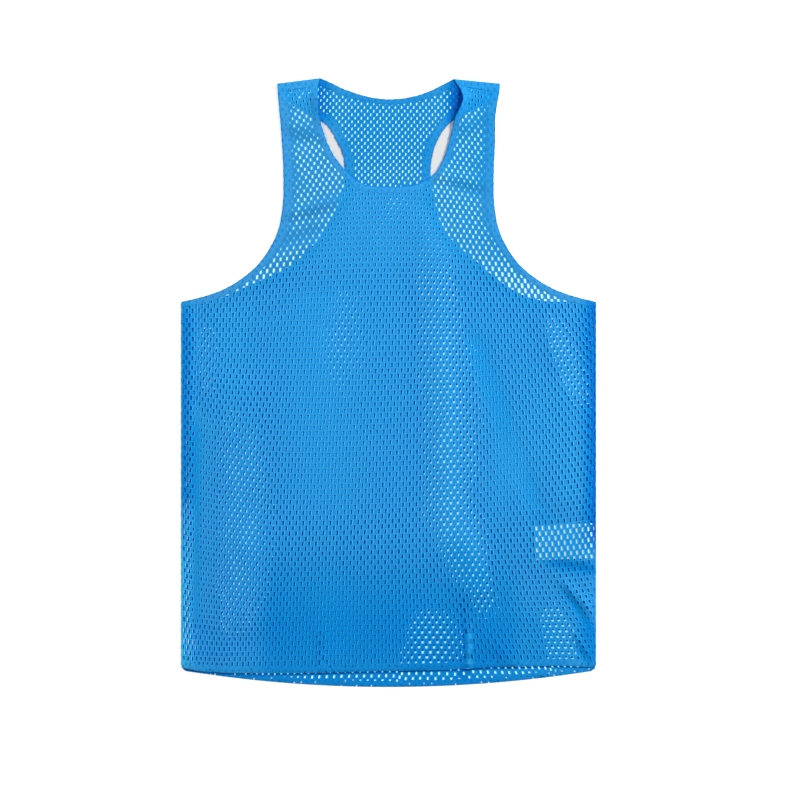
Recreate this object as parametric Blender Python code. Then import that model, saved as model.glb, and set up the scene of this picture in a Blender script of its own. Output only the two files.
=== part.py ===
"""A racerback running singlet in mesh knit, laid flat with its front up.

X runs across the chest, Y from the hem to the neck, and Z up from the surface it lies on.
The back lies flat on the surface. The front lies on the back with a little air and its soft
folds, and reaches the surface beside the racerback, where no back lies under it. Each half
of a panel is two ruled grids between its inner edge (centre line, then neck) and its outer
edge (side seam, then armhole). Sizes are in millimetres until a mesh is made.
"""

import math

import bmesh
import bpy
import numpy as np

MM = 0.001  # metres in a millimetre

# Cut of the garment
HALF_CHEST = 250.0  # centre line to side seam
BACK_HEM_DROP = 367.5  # origin down to the back hem at the centre
BACK_HEM_RISE = 20.0  # how much higher the back hem is at the side seams
HEM_CORNER = 6.0  # radius where the back hem meets the side seams

# Cloth
KNIT_WALL = 1.0
BAND_CROWN = 0.3  # how much thicker a binding or a hem is along its middle
SEAM_GAP = 0.3  # between pieces that are sewn together
WELD = 1e-4  # points of the two halves closer than this are one

# Widths of the bands
NECK_BAND = 8.0
BACK_NECK_BAND = 6.6
ARMHOLE_BAND = 10.5
RACER_BAND = 11.0
FRONT_HEM_BAND = 8.5
BACK_HEM_BAND = 7.0

# Heights of the front's underside above the surface
OVER_BACK = KNIT_WALL + SEAM_GAP
OVER_LABEL = OVER_BACK + KNIT_WALL + SEAM_GAP
AT_SHOULDER = 2.2
AIR = 1.2  # between the layers, away from the seams

# Reaches over which those heights change
EDGE_MARGIN = 14.0  # the front stays up this far outside the back's edge
EDGE_DROP = 22.0  # and comes down to the surface over this
BAND_MARGIN = 24.0  # the front lies higher this far inside the racerback's binding
BAND_FADE = 20.0
SIDE_RISE = 14.0  # from the side seam to full air
SHOULDER_RISE = 34.0  # from full air to the shoulder seam
LABEL_MARGIN = 14.0
LABEL_FADE = 14.0

# Edges of one half as (distance from the centre line, Y), each from its lowest point up
ARMHOLE = (
    (250.0, 97.5), (224.0, 104.5), (198.0, 114.5), (178.0, 126.0), (157.0, 143.5), (143.0, 163.0),
    (134.0, 182.0), (128.0, 212.0), (127.0, 250.0), (129.5, 300.0), (133.8, 350.3),
)
FRONT_NECK = {
    "left": (
        (0.0, 236.4), (18.0, 237.0), (30.0, 239.5), (41.0, 246.5), (53.0, 257.5), (64.0, 271.0),
        (75.0, 292.5), (82.5, 318.0), (85.0, 340.0), (85.0, 358.6),
    ),
    "right": (
        (0.0, 236.4), (18.0, 236.6), (31.0, 238.5), (43.0, 243.5), (56.0, 253.0), (67.0, 272.0),
        (75.5, 301.0), (80.0, 320.0), (87.0, 333.5), (89.5, 343.5), (87.0, 352.5), (83.5, 358.4),
    ),
}
RACER_ARMHOLE = {
    "left": (
        (250.0, 97.5), (225.0, 98.5), (203.0, 102.5), (171.0, 116.5), (150.0, 125.5), (120.0, 140.5),
        (101.0, 156.0), (80.0, 180.5), (62.0, 214.0), (54.0, 238.0), (53.0, 258.0), (55.0, 274.0),
        (62.0, 290.0), (75.0, 311.0), (94.0, 322.5), (112.0, 331.5), (126.0, 341.0), (133.8, 350.3),
    ),
    "right": (
        (250.0, 97.5), (215.0, 97.5), (181.0, 99.8), (160.5, 106.5), (141.0, 118.0), (122.0, 132.5),
        (105.0, 147.5), (89.0, 160.5), (76.0, 173.0), (62.5, 195.0), (55.5, 222.0), (51.0, 247.0),
        (51.5, 266.0), (58.0, 290.0), (73.5, 313.0), (94.0, 325.0), (112.0, 333.0), (126.0, 341.5),
        (133.8, 350.3),
    ),
}
BACK_NECK = {
    "left": ((0.0, 343.3), (23.0, 346.0), (38.0, 350.0), (58.0, 357.2), (72.5, 363.5), (83.0, 367.5)),
    "right": ((0.0, 343.3), (26.0, 345.8), (41.0, 349.8), (53.0, 354.6), (66.0, 360.5), (79.0, 366.5)),
}
SHOULDER_TIP = (134.5, 361.0)  # where the shoulder's fold meets the armhole

# The front's hem edge across the whole front, as (X, Y)
FRONT_HEM = (
    (-250.0, -343.5), (-236.0, -347.0), (-206.0, -349.6), (-160.0, -350.8), (-100.0, -350.6),
    (-22.0, -348.8), (60.0, -347.0), (105.0, -344.8), (150.0, -343.2), (208.0, -342.0), (250.0, -343.4),
)

# The folds as laid: where each starts and ends, its half width, and its height (below 0 it sinks)
FOLDS = (
    # name                     x0      y0      x1      y1   width  height
    ("left side roll",       -242.0,  78.0, -244.0, -330.0,   9.0,   2.3),
    ("right side roll",       243.0,  78.0,  242.0, -230.0,   8.0,   2.0),
    ("left side trough",     -222.0, 110.0, -234.0, -150.0,   9.0,  -1.1),
    ("left low trough",      -233.0, -90.0, -240.0, -320.0,   8.0,  -1.1),
    ("left broad wave",      -172.0,  10.0, -180.0, -300.0,  34.0,   2.2),
    ("middle hollow",         -85.0, 120.0,  -60.0, -330.0,  40.0,  -0.8),
    ("chest streak",          -28.0, 120.0,   14.0,  225.0,  11.0,   1.2),
    ("long wave",              62.0, 130.0,   96.0, -270.0,  26.0,   3.0),
    ("right broad wave",      186.0,  80.0,  182.0, -170.0,  36.0,   2.6),
    ("right inner trough",    138.0, -70.0,  134.0, -300.0,  16.0,  -0.9),
    ("right diagonal ridge",  206.0, -234.0, 252.0, -296.0,   9.0,   3.2),
    ("right diagonal trough", 206.0, -254.0, 250.0, -309.0,   8.0,  -1.2),
    ("low right ridge",       214.0, -290.0, 244.0, -330.0,   8.0,   1.8),
    ("hem crease",             96.0, -262.0,  95.0, -352.0,   7.0,   3.0),
    ("hem crease hollow",      84.0, -270.0,  86.0, -352.0,   8.0,  -1.0),
    ("small hem crease",      -80.0, -296.0, -81.0, -352.0,   6.0,   1.6),
    ("left hem wave",        -196.0, -300.0, -200.0, -352.0,  14.0,   1.2),
    ("left strap edge",       -80.0, 356.0,  -79.0, 296.0,  13.0,   2.6),
    ("right strap edge",       84.0, 356.0,   78.0, 300.0,  13.0,   3.2),
    ("left strap fold",      -122.0, 316.0,  -92.0, 306.0,   9.0,   1.3),
    ("left strap base fold", -128.0, 196.0,  -74.0, 218.0,   9.0,   1.6),
    ("left armhole fold",    -150.0, 150.0,  -96.0, 178.0,   9.0,   1.6),
    ("right strap base fold", 124.0, 226.0,   66.0, 232.0,  10.0,   1.5),
    ("right armhole fold",    176.0, 122.0,  104.0, 176.0,  10.0,   1.4),
)
FADE = 0.22  # share of a fold's length over which each of its ends fades

# The care label: centre of its edge at the side seam, its size, and its slope
LABEL_SEAM = (249.6, -190.6)
LABEL_LENGTH = 72.0
LABEL_WIDTH = 42.0
LABEL_SLOPE = math.radians(2.0)

# How each layer's halves are divided. The body block reaches up to the armhole's lower part,
# and the chest block stands on it between the centre line and the armhole's upper part.
# body: rows of the body block; middle: columns of the chest block; side: armhole steps beside
# the body block; chest: rows up to the neck's lowest point; neck: rows beside the neck;
# split: armhole steps at the side seam with a column more; top_y: centre of the blocks' joint.
GRIDS = {
    "front": {"body": 24, "middle": 10, "side": 9, "chest": 4, "neck": 14, "split": 3, "top_y": 140.0},
    "back": {"body": 8, "middle": 6, "side": 10, "chest": 9, "neck": 9, "split": 0, "top_y": 128.0},
}
STRIP_STATIONS = 5
BEND_STEPS = 6
HEM_STEPS = 9
FINE = 400  # samples of a curve before it is divided evenly

BAND_WALL = (KNIT_WALL, KNIT_WALL + BAND_CROWN, KNIT_WALL)  # across a band
SIDES = {"left": -1.0, "right": 1.0}
DOWN = (0.0, -1.0)

# Colours as sRGB hex
MESH_BLUE = "2095EC"
BACK_BLUE = "1B8BE0"
BAND_BLUE = "2C9AEE"
LABEL_WHITE = "F2F4F5"


def smooth(t):
    """Cubic step from 0 to 1 with level ends."""
    t = np.clip(t, 0.0, 1.0)
    return t * t * (3.0 - 2.0 * t)


def lengths(points):
    """Distance of each point along its polyline."""
    return np.concatenate([[0.0], np.cumsum(np.linalg.norm(np.diff(points, axis=0), axis=1))])


def curve_through(points, steps):
    """Points at even distances along a cubic Hermite curve through the given ones."""
    points = np.asarray(points, float)
    knots = lengths(points)
    slopes = np.gradient(points, knots, axis=0)
    at = np.linspace(0.0, knots[-1], FINE)
    first = np.clip(np.searchsorted(knots, at, side="right") - 1, 0, len(points) - 2)
    span = (knots[first + 1] - knots[first])[:, None]
    t = (at - knots[first])[:, None] / span
    fine = (
        (2 * t**3 - 3 * t**2 + 1) * points[first]
        + (t**3 - 2 * t**2 + t) * span * slopes[first]
        + (3 * t**2 - 2 * t**3) * points[first + 1]
        + (t**3 - t**2) * span * slopes[first + 1]
    )
    run = lengths(fine)
    even = np.linspace(0.0, run[-1], steps + 1)
    return np.stack([np.interp(even, run, fine[:, axis]) for axis in (0, 1)], axis=1)


def inset(edge, width, turn, first_cut, last_cut):
    """The line that runs beside an edge at a width, inside the cloth.

    turn is +1 where the cloth is left of the edge's direction and -1 where it is right.
    Its two ends slide along it until they lie on the end cuts through the edge's ends.
    """
    along = np.gradient(edge, lengths(edge), axis=0)
    along /= np.linalg.norm(along, axis=1)[:, None]
    normal = turn * np.stack([-along[:, 1], along[:, 0]], axis=1)
    width = np.broadcast_to(np.asarray(width, float), len(edge))
    run = lengths(edge)
    slide = np.zeros(len(edge))
    for end, cut, distance in ((0, first_cut, run), (-1, last_cut, run[-1] - run)):
        cut = np.asarray(cut, float)
        push = width[end] * (cut @ along[end]) / (cut @ normal[end])
        reach = max(3.0 * abs(push), 1.0)
        slide += push * np.clip(1.0 - distance / reach, 0.0, 1.0)
    return edge + normal * width[:, None] + along * slide[:, None]


def neck_inset(scoop, width, last_cut):
    """The inset of a half neck line, mirrored past the centre so that both halves agree there."""
    whole = np.concatenate([[(-scoop[1, 0], scoop[1, 1])], scoop])
    width = np.broadcast_to(np.asarray(width, float), len(scoop))
    return inset(whole, np.concatenate([width[:1], width]), -1, DOWN, last_cut)[1:]


def armhole_steps(layer):
    """How many steps an armhole of this layer is divided into."""
    grid = GRIDS[layer]
    return grid["side"] + grid["chest"] + grid["neck"]


def distance_to(x, y, line):
    """Shortest distance from each point to a polyline."""
    start, end = line[:-1], line[1:]
    step = end - start
    away = np.stack([x, y], axis=-1)[..., None, :] - start
    share = np.clip((away * step).sum(-1) / (step * step).sum(-1), 0.0, 1.0)
    return np.linalg.norm(away - share[..., None] * step, axis=-1).min(-1)


def inside_back(x, y):
    """Signed distance to the racerback's armhole edges, above 0 on the back."""
    nearest = np.full(np.shape(x), np.inf)
    within = np.ones(np.shape(x), bool)
    for side, sign in SIDES.items():
        line = curve_through(RACER_ARMHOLE[side], armhole_steps("back")) * (sign, 1.0)
        nearest = np.minimum(nearest, distance_to(x, y, line))
        within &= sign * x <= sign * np.interp(y, line[:, 1], line[:, 0])
    return np.where(within, nearest, -nearest)


def label_cover(x, y):
    """1 over the care label and a margin round it, falling to 0."""
    middle = np.array(LABEL_SEAM) - (LABEL_LENGTH / 2, 0.0)
    beyond_x = np.abs(x - middle[0]) - LABEL_LENGTH / 2 - LABEL_MARGIN
    beyond_y = np.abs(y - middle[1]) - LABEL_WIDTH / 2 - LABEL_MARGIN
    return smooth(1.0 - np.maximum(beyond_x, beyond_y) / LABEL_FADE)


def fold_heights(x, y):
    """Sum of the folds: each is a bell across its line, and fades at its ends."""
    total = np.zeros(np.shape(x))
    for _, x0, y0, x1, y1, width, height in FOLDS:
        dx, dy = x1 - x0, y1 - y0
        length = math.hypot(dx, dy)
        share = ((x - x0) * dx + (y - y0) * dy) / length**2
        across = ((x - x0) * dy - (y - y0) * dx) / length
        ends = smooth((np.minimum(share, 1.0 - share) + FADE / 2) / FADE)
        total += height * np.exp(-((across / width) ** 2)) * ends
    return total


def shoulder_line(side):
    """Ends of the shoulder seam and of the fold above it, as (armhole, neck) pairs."""
    seam = np.array([ARMHOLE[-1], FRONT_NECK[side][-1]])
    fold = np.array([SHOULDER_TIP, BACK_NECK[side][-1]])
    return seam, fold


def below_shoulder(x, y):
    """Distance down from the shoulder seam's line, for the strap on x's side."""
    depth = np.zeros(np.shape(x))
    for side, sign in SIDES.items():
        (x_arm, y_arm), (x_neck, y_neck) = shoulder_line(side)[0]
        seam_y = y_arm + (y_neck - y_arm) * (sign * x - x_arm) / (x_neck - x_arm)
        depth = np.where(sign * x > 0, seam_y - y, depth)
    return depth


def front_base(x, y):
    """Height of the front's underside: what lies under it, the air and the folds."""
    edge = inside_back(x, y)
    over_back = smooth((edge + EDGE_MARGIN + EDGE_DROP) / EDGE_DROP)
    near_band = 1.0 - smooth((edge - BAND_MARGIN) / BAND_FADE)
    carried = over_back * (OVER_BACK + BAND_CROWN * near_band)
    from_side = smooth((HALF_CHEST - np.abs(x)) / SIDE_RISE)
    loose = AIR * over_back * from_side + fold_heights(x, y) * from_side
    height = carried + np.maximum(loose, 0.0)
    height = np.maximum(height, OVER_LABEL * label_cover(x, y))
    at_shoulder = smooth(1.0 - below_shoulder(x, y) / SHOULDER_RISE)
    return height + (AT_SHOULDER - height) * at_shoulder


def back_base(x, y):
    """The back lies flat on the surface."""
    return np.zeros(np.shape(x))


def front_hem_y(x):
    """Y of the front hem's edge."""
    edge = curve_through(FRONT_HEM, 4 * len(FRONT_HEM))
    return np.interp(x, edge[:, 0], edge[:, 1])


def back_hem_y(x):
    """Y of the back hem's edge before its corners: a shallow parabola."""
    return BACK_HEM_RISE * (x / HALF_CHEST) ** 2 - BACK_HEM_DROP


def corner_rise(x):
    """How much the hem's round corners lift its edge near the side seams."""
    past = np.clip(np.abs(x) - (HALF_CHEST - HEM_CORNER), 0.0, HEM_CORNER)
    return HEM_CORNER - np.sqrt(HEM_CORNER**2 - past**2)


def material(name, hex_colour, roughness):
    """A matt cloth material from an sRGB hex colour."""
    srgb = np.array([int(hex_colour[i : i + 2], 16) for i in (0, 2, 4)]) / 255
    linear = np.where(srgb <= 0.04045, srgb / 12.92, ((srgb + 0.055) / 1.055) ** 2.4)
    made = bpy.data.materials.new(name)
    made.use_nodes = True
    shader = made.node_tree.nodes["Principled BSDF"]
    shader.inputs["Base Color"].default_value = (*linear, 1.0)
    shader.inputs["Roughness"].default_value = roughness
    shader.inputs["Metallic"].default_value = 0.0
    return made


def add_object(name, mesh, finish):
    """Closes a bmesh into a named object with faces out."""
    bmesh.ops.recalc_face_normals(mesh, faces=mesh.faces)
    data = bpy.data.meshes.new(name)
    mesh.to_mesh(data)
    mesh.free()
    data.materials.append(finish)
    bpy.context.scene.collection.objects.link(bpy.data.objects.new(name, data))


def cloth_wall(name, grids, base, thickness, finish):
    """A closed wall on one or more grids of (X, Y) points.

    Each grid's points get the base's height, grids are joined where points agree, and the
    sheet is then extruded up by its thickness, given for each column of a grid.
    """
    mesh = bmesh.new()
    wall = mesh.verts.layers.float.new("wall")
    for grid in grids:
        rows, columns = grid.shape[:2]
        heights = base(grid[..., 0], grid[..., 1])
        points = np.dstack([grid, heights]) * MM
        corners = []
        for row in points:
            line = [mesh.verts.new(point) for point in row]
            for corner, thick in zip(line, np.broadcast_to(thickness, columns)):
                corner[wall] = thick * MM
            corners.append(line)
        for r in range(rows - 1):
            for c in range(columns - 1):
                near, far = corners[r], corners[r + 1]
                mesh.faces.new((near[c], near[c + 1], far[c + 1], far[c]))
    bmesh.ops.remove_doubles(mesh, verts=mesh.verts, dist=WELD * MM)
    bmesh.ops.recalc_face_normals(mesh, faces=mesh.faces)
    sheet = mesh.faces[:] + mesh.edges[:]
    raised = bmesh.ops.extrude_face_region(mesh, geom=sheet, use_keep_orig=True)
    for item in raised["geom"]:
        if isinstance(item, bmesh.types.BMVert):
            item.co.z += item[wall]
    add_object(name, mesh, finish)


def half_panel(layer, sign, neck_line, armhole_line, bottom):
    """Grids of one half, columns from the centre out: its body block and its chest block."""
    grid = GRIDS[layer]
    share = np.linspace(0.0, 1.0, grid["middle"] + 1)[None, :, None]
    chest = np.linspace((0.0, grid["top_y"]), neck_line[0], grid["chest"] + 1)
    inner = np.concatenate([chest[:-1], neck_line])[:, None]
    outer = armhole_line[grid["side"] :, None]
    top = inner * (1.0 - share) + outer * share
    side = armhole_line[grid["side"] :: -1]
    if grid["split"]:
        halfway = (side[:-1] + side[1:])[-grid["split"] :] / 2
        side = np.insert(side, range(len(side) - grid["split"], len(side)), halfway, axis=0)
    level = np.concatenate([top[0], side[1:]])
    hem = np.stack([level[:, 0], bottom(sign * level[:, 0])], axis=1)
    body = np.linspace(hem, level, grid["body"] + 1)
    return [body * (sign, 1.0), top * (sign, 1.0)]


def band(edge, inner, sign):
    """Three columns across a band: its edge, its middle and its sewn line."""
    return np.stack([edge, (edge + inner) / 2, inner], axis=1) * (sign, 1.0)


def front_pieces(knit, plain):
    """The front panel, its neck and armhole bindings, and its hem."""
    panel, neck, hem = [], [], []
    for side, sign in SIDES.items():
        seam = shoulder_line(side)[0]
        along_seam = (seam[1] - seam[0]) / np.linalg.norm(seam[1] - seam[0])
        arm = curve_through(ARMHOLE, armhole_steps("front"))
        scoop = curve_through(FRONT_NECK[side], GRIDS["front"]["neck"])
        arm_band = inset(arm, ARMHOLE_BAND, 1, DOWN, along_seam)
        name = f"front_armhole_binding_{side}"
        cloth_wall(name, [band(arm, arm_band, sign)], front_base, BAND_WALL, plain)
        neck.append(band(scoop, neck_inset(scoop, NECK_BAND, -along_seam), sign))
        blocks = half_panel(
            "front",
            sign,
            neck_inset(scoop, NECK_BAND + SEAM_GAP, -along_seam),
            inset(arm, ARMHOLE_BAND + SEAM_GAP, 1, DOWN, along_seam),
            lambda x: front_hem_y(x) + FRONT_HEM_BAND + SEAM_GAP,
        )
        panel += blocks
        sewn = blocks[0][0] - (0.0, SEAM_GAP)
        hem.append(band(sewn - (0.0, FRONT_HEM_BAND), sewn, 1.0))
    cloth_wall("front_neck_binding", neck, front_base, BAND_WALL, plain)
    cloth_wall("front_panel", panel, front_base, KNIT_WALL, knit)
    cloth_wall("front_hem", hem, front_base, BAND_WALL, plain)


def back_pieces(knit, plain):
    """The back panel, its neck and racerback bindings, and its hem."""
    panel, neck = [], []
    for side, sign in SIDES.items():
        seam, fold = shoulder_line(side)
        along_seam = (seam[1] - seam[0]) / np.linalg.norm(seam[1] - seam[0])
        strip_end = seam[1] - fold[1]
        arm = curve_through(RACER_ARMHOLE[side], armhole_steps("back"))
        scoop = curve_through(BACK_NECK[side], GRIDS["back"]["neck"])
        arm_band = inset(arm, RACER_BAND, 1, DOWN, along_seam)
        name = f"back_armhole_binding_{side}"
        cloth_wall(name, [band(arm, arm_band, sign)], back_base, BAND_WALL, plain)
        along_neck = (scoop[-1] - scoop[-2]) / np.linalg.norm(scoop[-1] - scoop[-2])
        end_width = abs(along_neck[0] * strip_end[1] - along_neck[1] * strip_end[0])
        width = np.linspace(BACK_NECK_BAND, end_width, len(scoop))
        neck.append(band(scoop, neck_inset(scoop, width, strip_end), sign))
        panel += half_panel(
            "back",
            sign,
            neck_inset(scoop, width + SEAM_GAP, strip_end),
            inset(arm, RACER_BAND + SEAM_GAP, 1, DOWN, along_seam),
            lambda x: back_hem_y(x) + BACK_HEM_BAND + SEAM_GAP,
        )
    cloth_wall("back_neck_binding", neck, back_base, BAND_WALL, plain)
    cloth_wall("back_panel", panel, back_base, KNIT_WALL, knit)
    corner = HALF_CHEST - HEM_CORNER * (1.0 - np.sin(np.radians((0, 30, 60, 80, 90))))
    half = np.concatenate([np.linspace(0.0, corner[0], HEM_STEPS)[:-1], corner])
    x = np.concatenate([-half[:0:-1], half])
    inner = np.stack([x, back_hem_y(x) + BACK_HEM_BAND], axis=1)
    edge = np.stack([x, back_hem_y(x) + corner_rise(x)], axis=1)
    cloth_wall("back_hem", [band(edge, inner, 1.0)], back_base, BAND_WALL, plain)


def shoulder_strip(side, sign, plain):
    """The strip folded over the shoulder: a hairpin section carried from armhole to neck."""
    seam, fold = shoulder_line(side)
    outer_radius = (AT_SHOULDER + KNIT_WALL) / 2
    inner_radius = outer_radius - KNIT_WALL
    turn = np.linspace(-math.pi / 2, math.pi / 2, BEND_STEPS + 1)
    mesh = bmesh.new()
    sections = []
    for share in np.linspace(0.0, 1.0, STRIP_STATIONS):
        at_fold = fold[0] + (fold[1] - fold[0]) * share
        at_seam = seam[0] + (seam[1] - seam[0]) * share + (0.0, SEAM_GAP)
        if share == 1.0:
            at_fold = at_fold + (SEAM_GAP, 0.0)
            at_seam = at_seam + (SEAM_GAP, 0.0)
        depth = np.linalg.norm(at_seam - at_fold)
        section = []
        for radius in (outer_radius, inner_radius):
            back = outer_radius - radius * np.cos(turn)
            up = outer_radius + radius * np.sin(turn)
            back = np.concatenate([[depth], back, [depth]])
            up = np.concatenate([up[:1], up, up[-1:]])
            place = at_fold + (at_seam - at_fold) * (back / depth)[:, None]
            points = np.column_stack([sign * place[:, 0], place[:, 1], up]) * MM
            section.append([mesh.verts.new(point) for point in points])
        sections.append(section)
    steps = len(sections[0][0])
    for (outer, inner), (next_outer, next_inner) in zip(sections, sections[1:]):
        for i in range(steps - 1):
            mesh.faces.new((outer[i], outer[i + 1], next_outer[i + 1], next_outer[i]))
            mesh.faces.new((inner[i + 1], inner[i], next_inner[i], next_inner[i + 1]))
        for i in (0, -1):
            mesh.faces.new((outer[i], next_outer[i], next_inner[i], inner[i]))
    for outer, inner in (sections[0], sections[-1]):
        for i in range(steps - 1):
            mesh.faces.new((outer[i], inner[i], inner[i + 1], outer[i + 1]))
    add_object(f"shoulder_strip_{side}", mesh, plain)


def care_label(finish):
    """A flat tab sewn into the side seam, between the two layers."""
    turn = np.array(
        ((math.cos(LABEL_SLOPE), math.sin(LABEL_SLOPE)), (-math.sin(LABEL_SLOPE), math.cos(LABEL_SLOPE)))
    )
    across, up = np.meshgrid((-LABEL_LENGTH, 0.0), (-LABEL_WIDTH / 2, LABEL_WIDTH / 2))
    grid = np.dstack([across, up]) @ turn + np.array(LABEL_SEAM)
    grid[:, 1, 0] = LABEL_SEAM[0]
    cloth_wall("care_label", [grid], lambda x, y: np.full(np.shape(x), OVER_BACK), KNIT_WALL, finish)


def build():
    for item in list(bpy.data.objects):
        bpy.data.objects.remove(item)
    knit = material("mesh_knit", MESH_BLUE, 0.62)
    back_knit = material("back_mesh_knit", BACK_BLUE, 0.62)
    plain = material("plain_knit_binding", BAND_BLUE, 0.55)
    tape = material("label_tape", LABEL_WHITE, 0.7)
    front_pieces(knit, plain)
    back_pieces(back_knit, plain)
    for side, sign in SIDES.items():
        shoulder_strip(side, sign, plain)
    care_label(tape)


build()
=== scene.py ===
# %% [markdown]
# # A racerback running singlet in mesh knit, laid flat
#
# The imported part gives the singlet's cut and its collision solids. This script builds its
# looks round them in the same frame: X runs across the chest, Y from the hem to the neck and
# Z up from the surface the singlet lies on. Everything is a surface worked out by numpy as
# whole arrays, in millimetres, and becomes metres when its mesh is made.

import math

import bpy
import numpy as np
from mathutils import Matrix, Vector


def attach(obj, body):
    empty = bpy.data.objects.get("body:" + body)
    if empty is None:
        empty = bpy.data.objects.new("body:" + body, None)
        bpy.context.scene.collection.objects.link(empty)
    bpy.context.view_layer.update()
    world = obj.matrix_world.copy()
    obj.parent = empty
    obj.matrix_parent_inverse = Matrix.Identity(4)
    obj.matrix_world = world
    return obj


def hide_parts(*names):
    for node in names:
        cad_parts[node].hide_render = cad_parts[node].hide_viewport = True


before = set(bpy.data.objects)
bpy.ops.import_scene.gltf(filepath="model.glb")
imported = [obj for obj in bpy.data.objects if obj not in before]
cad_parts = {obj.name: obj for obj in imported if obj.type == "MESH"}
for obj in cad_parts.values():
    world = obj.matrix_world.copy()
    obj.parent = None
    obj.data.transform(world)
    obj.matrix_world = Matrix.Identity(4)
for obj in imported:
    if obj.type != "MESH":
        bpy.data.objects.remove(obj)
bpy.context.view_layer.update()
MM = 0.001
SIDES = {"left": -1.0, "right": 1.0}
print("nodes:", ", ".join(sorted(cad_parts)))

# %% [markdown]
# ## The cut
#
# A singlet is cut from flat cloth, so each piece is known by its edges: the neck, the two
# armholes, the racerback's deeper armholes and two hems. They could be drawn by hand as
# Bezier curves, but then no other piece could follow them. Here each edge is a short list of
# points, given for one half as (distance from the centre line, Y), and everything sewn to
# that edge is worked out from it. Left and right differ, because the singlet lies a little
# askew.

# %% Points along each edge
HALF_CHEST = 250.0
ARMHOLE = (
    (250.0, 97.5), (224.0, 104.5), (198.0, 114.5), (178.0, 126.0), (157.0, 143.5), (143.0, 163.0),
    (134.0, 182.0), (128.0, 212.0), (127.0, 250.0), (129.5, 300.0), (133.8, 350.3),
)
FRONT_NECK = {
    "left": (
        (0.0, 236.4), (18.0, 237.0), (30.0, 239.5), (41.0, 246.5), (53.0, 257.5), (64.0, 271.0),
        (75.0, 292.5), (82.5, 318.0), (85.0, 340.0), (85.0, 358.6),
    ),
    "right": (
        (0.0, 236.4), (18.0, 236.6), (31.0, 238.5), (43.0, 243.5), (56.0, 253.0), (67.0, 272.0),
        (75.5, 301.0), (80.0, 320.0), (87.0, 333.5), (89.5, 343.5), (87.0, 352.5), (83.5, 358.4),
    ),
}
RACER_ARMHOLE = {
    "left": (
        (250.0, 97.5), (225.0, 98.5), (203.0, 102.5), (171.0, 116.5), (150.0, 125.5), (120.0, 140.5),
        (101.0, 156.0), (80.0, 180.5), (62.0, 214.0), (54.0, 238.0), (53.0, 258.0), (55.0, 274.0),
        (62.0, 290.0), (75.0, 311.0), (94.0, 322.5), (112.0, 331.5), (126.0, 341.0), (133.8, 350.3),
    ),
    "right": (
        (250.0, 97.5), (215.0, 97.5), (181.0, 99.8), (160.5, 106.5), (141.0, 118.0), (122.0, 132.5),
        (105.0, 147.5), (89.0, 160.5), (76.0, 173.0), (62.5, 195.0), (55.5, 222.0), (51.0, 247.0),
        (51.5, 266.0), (58.0, 290.0), (73.5, 313.0), (94.0, 325.0), (112.0, 333.0), (126.0, 341.5),
        (133.8, 350.3),
    ),
}
BACK_NECK = {
    "left": ((0.0, 343.3), (23.0, 346.0), (38.0, 350.0), (58.0, 357.2), (72.5, 363.5), (83.0, 367.5)),
    "right": ((0.0, 343.3), (26.0, 345.8), (41.0, 349.8), (53.0, 354.6), (66.0, 360.5), (79.0, 366.5)),
}
SHOULDER_TIP = (134.5, 361.0)
FRONT_HEM = (
    (-250.0, -343.5), (-236.0, -347.0), (-206.0, -349.6), (-160.0, -350.8), (-100.0, -350.6),
    (-22.0, -348.8), (60.0, -347.0), (105.0, -344.8), (150.0, -343.2), (208.0, -342.0), (250.0, -343.4),
)
BACK_HEM_DROP, BACK_HEM_RISE, HEM_CORNER = 367.5, 20.0, 6.0
NECK_BAND, BACK_NECK_BAND, ARMHOLE_BAND, RACER_BAND = 8.0, 6.6, 10.5, 11.0
FRONT_HEM_BAND, BACK_HEM_BAND = 8.5, 7.0
TUCK = 2.2  # how far inside a bound edge the cloth ends

print("chest", 2 * HALF_CHEST, "mm across, longest", BACK_NECK["left"][-1][1] + BACK_HEM_DROP, "mm")

# %% [markdown]
# ## Lines from points
#
# An edge has to pass through its points, bend smoothly and have its vertices evenly spaced,
# or a band carried along it bunches up. One cubic for each span does that: it starts and
# ends on its two points, with the slopes that their neighbours give. A second line at a
# width beside the edge is where its binding is sewn down.

# %% Smooth curves
def smooth(t):
    """Cubic step from 0 to 1 with level ends: 3t² − 2t³."""
    t = np.clip(t, 0.0, 1.0)
    return t * t * (3.0 - 2.0 * t)


def lengths(points):
    """Distance of each point along its polyline."""
    return np.concatenate([[0.0], np.cumsum(np.linalg.norm(np.diff(points, axis=0), axis=1))])


def through(knots, table, at):
    """Values at any places along knots, where table has one entry for each knot: between two
    knots a cubic with the slopes that the neighbouring knots give. 2t³ − 3t² + 1 and 3t² − 2t³
    weigh the entries, t³ − 2t² + t and t³ − t² the slopes."""
    knots, table = np.asarray(knots, float), np.asarray(table, float)
    slopes = np.gradient(table, knots, axis=0)
    first = np.clip(np.searchsorted(knots, at, side="right") - 1, 0, len(knots) - 2)
    span = knots[first + 1] - knots[first]
    wide = (slice(None),) + (None,) * (table.ndim - 1)
    t, span = ((at - knots[first]) / span)[wide], span[wide]
    return (
        (2 * t**3 - 3 * t**2 + 1) * table[first]
        + (t**3 - 2 * t**2 + t) * span * slopes[first]
        + (3 * t**2 - 2 * t**3) * table[first + 1]
        + (t**3 - t**2) * span * slopes[first + 1]
    )


def curve_through(points, spacing=2.0):
    """Even points on a curve through the given ones, with their distances along it as knots."""
    knots = lengths(np.asarray(points, float))
    fine = through(knots, points, np.linspace(0.0, knots[-1], 2000))
    run = lengths(fine)
    even = np.linspace(0.0, run[-1], int(round(run[-1] / spacing)) + 1)
    return np.stack([np.interp(even, run, fine[:, axis]) for axis in range(fine.shape[1])], axis=1)


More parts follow.
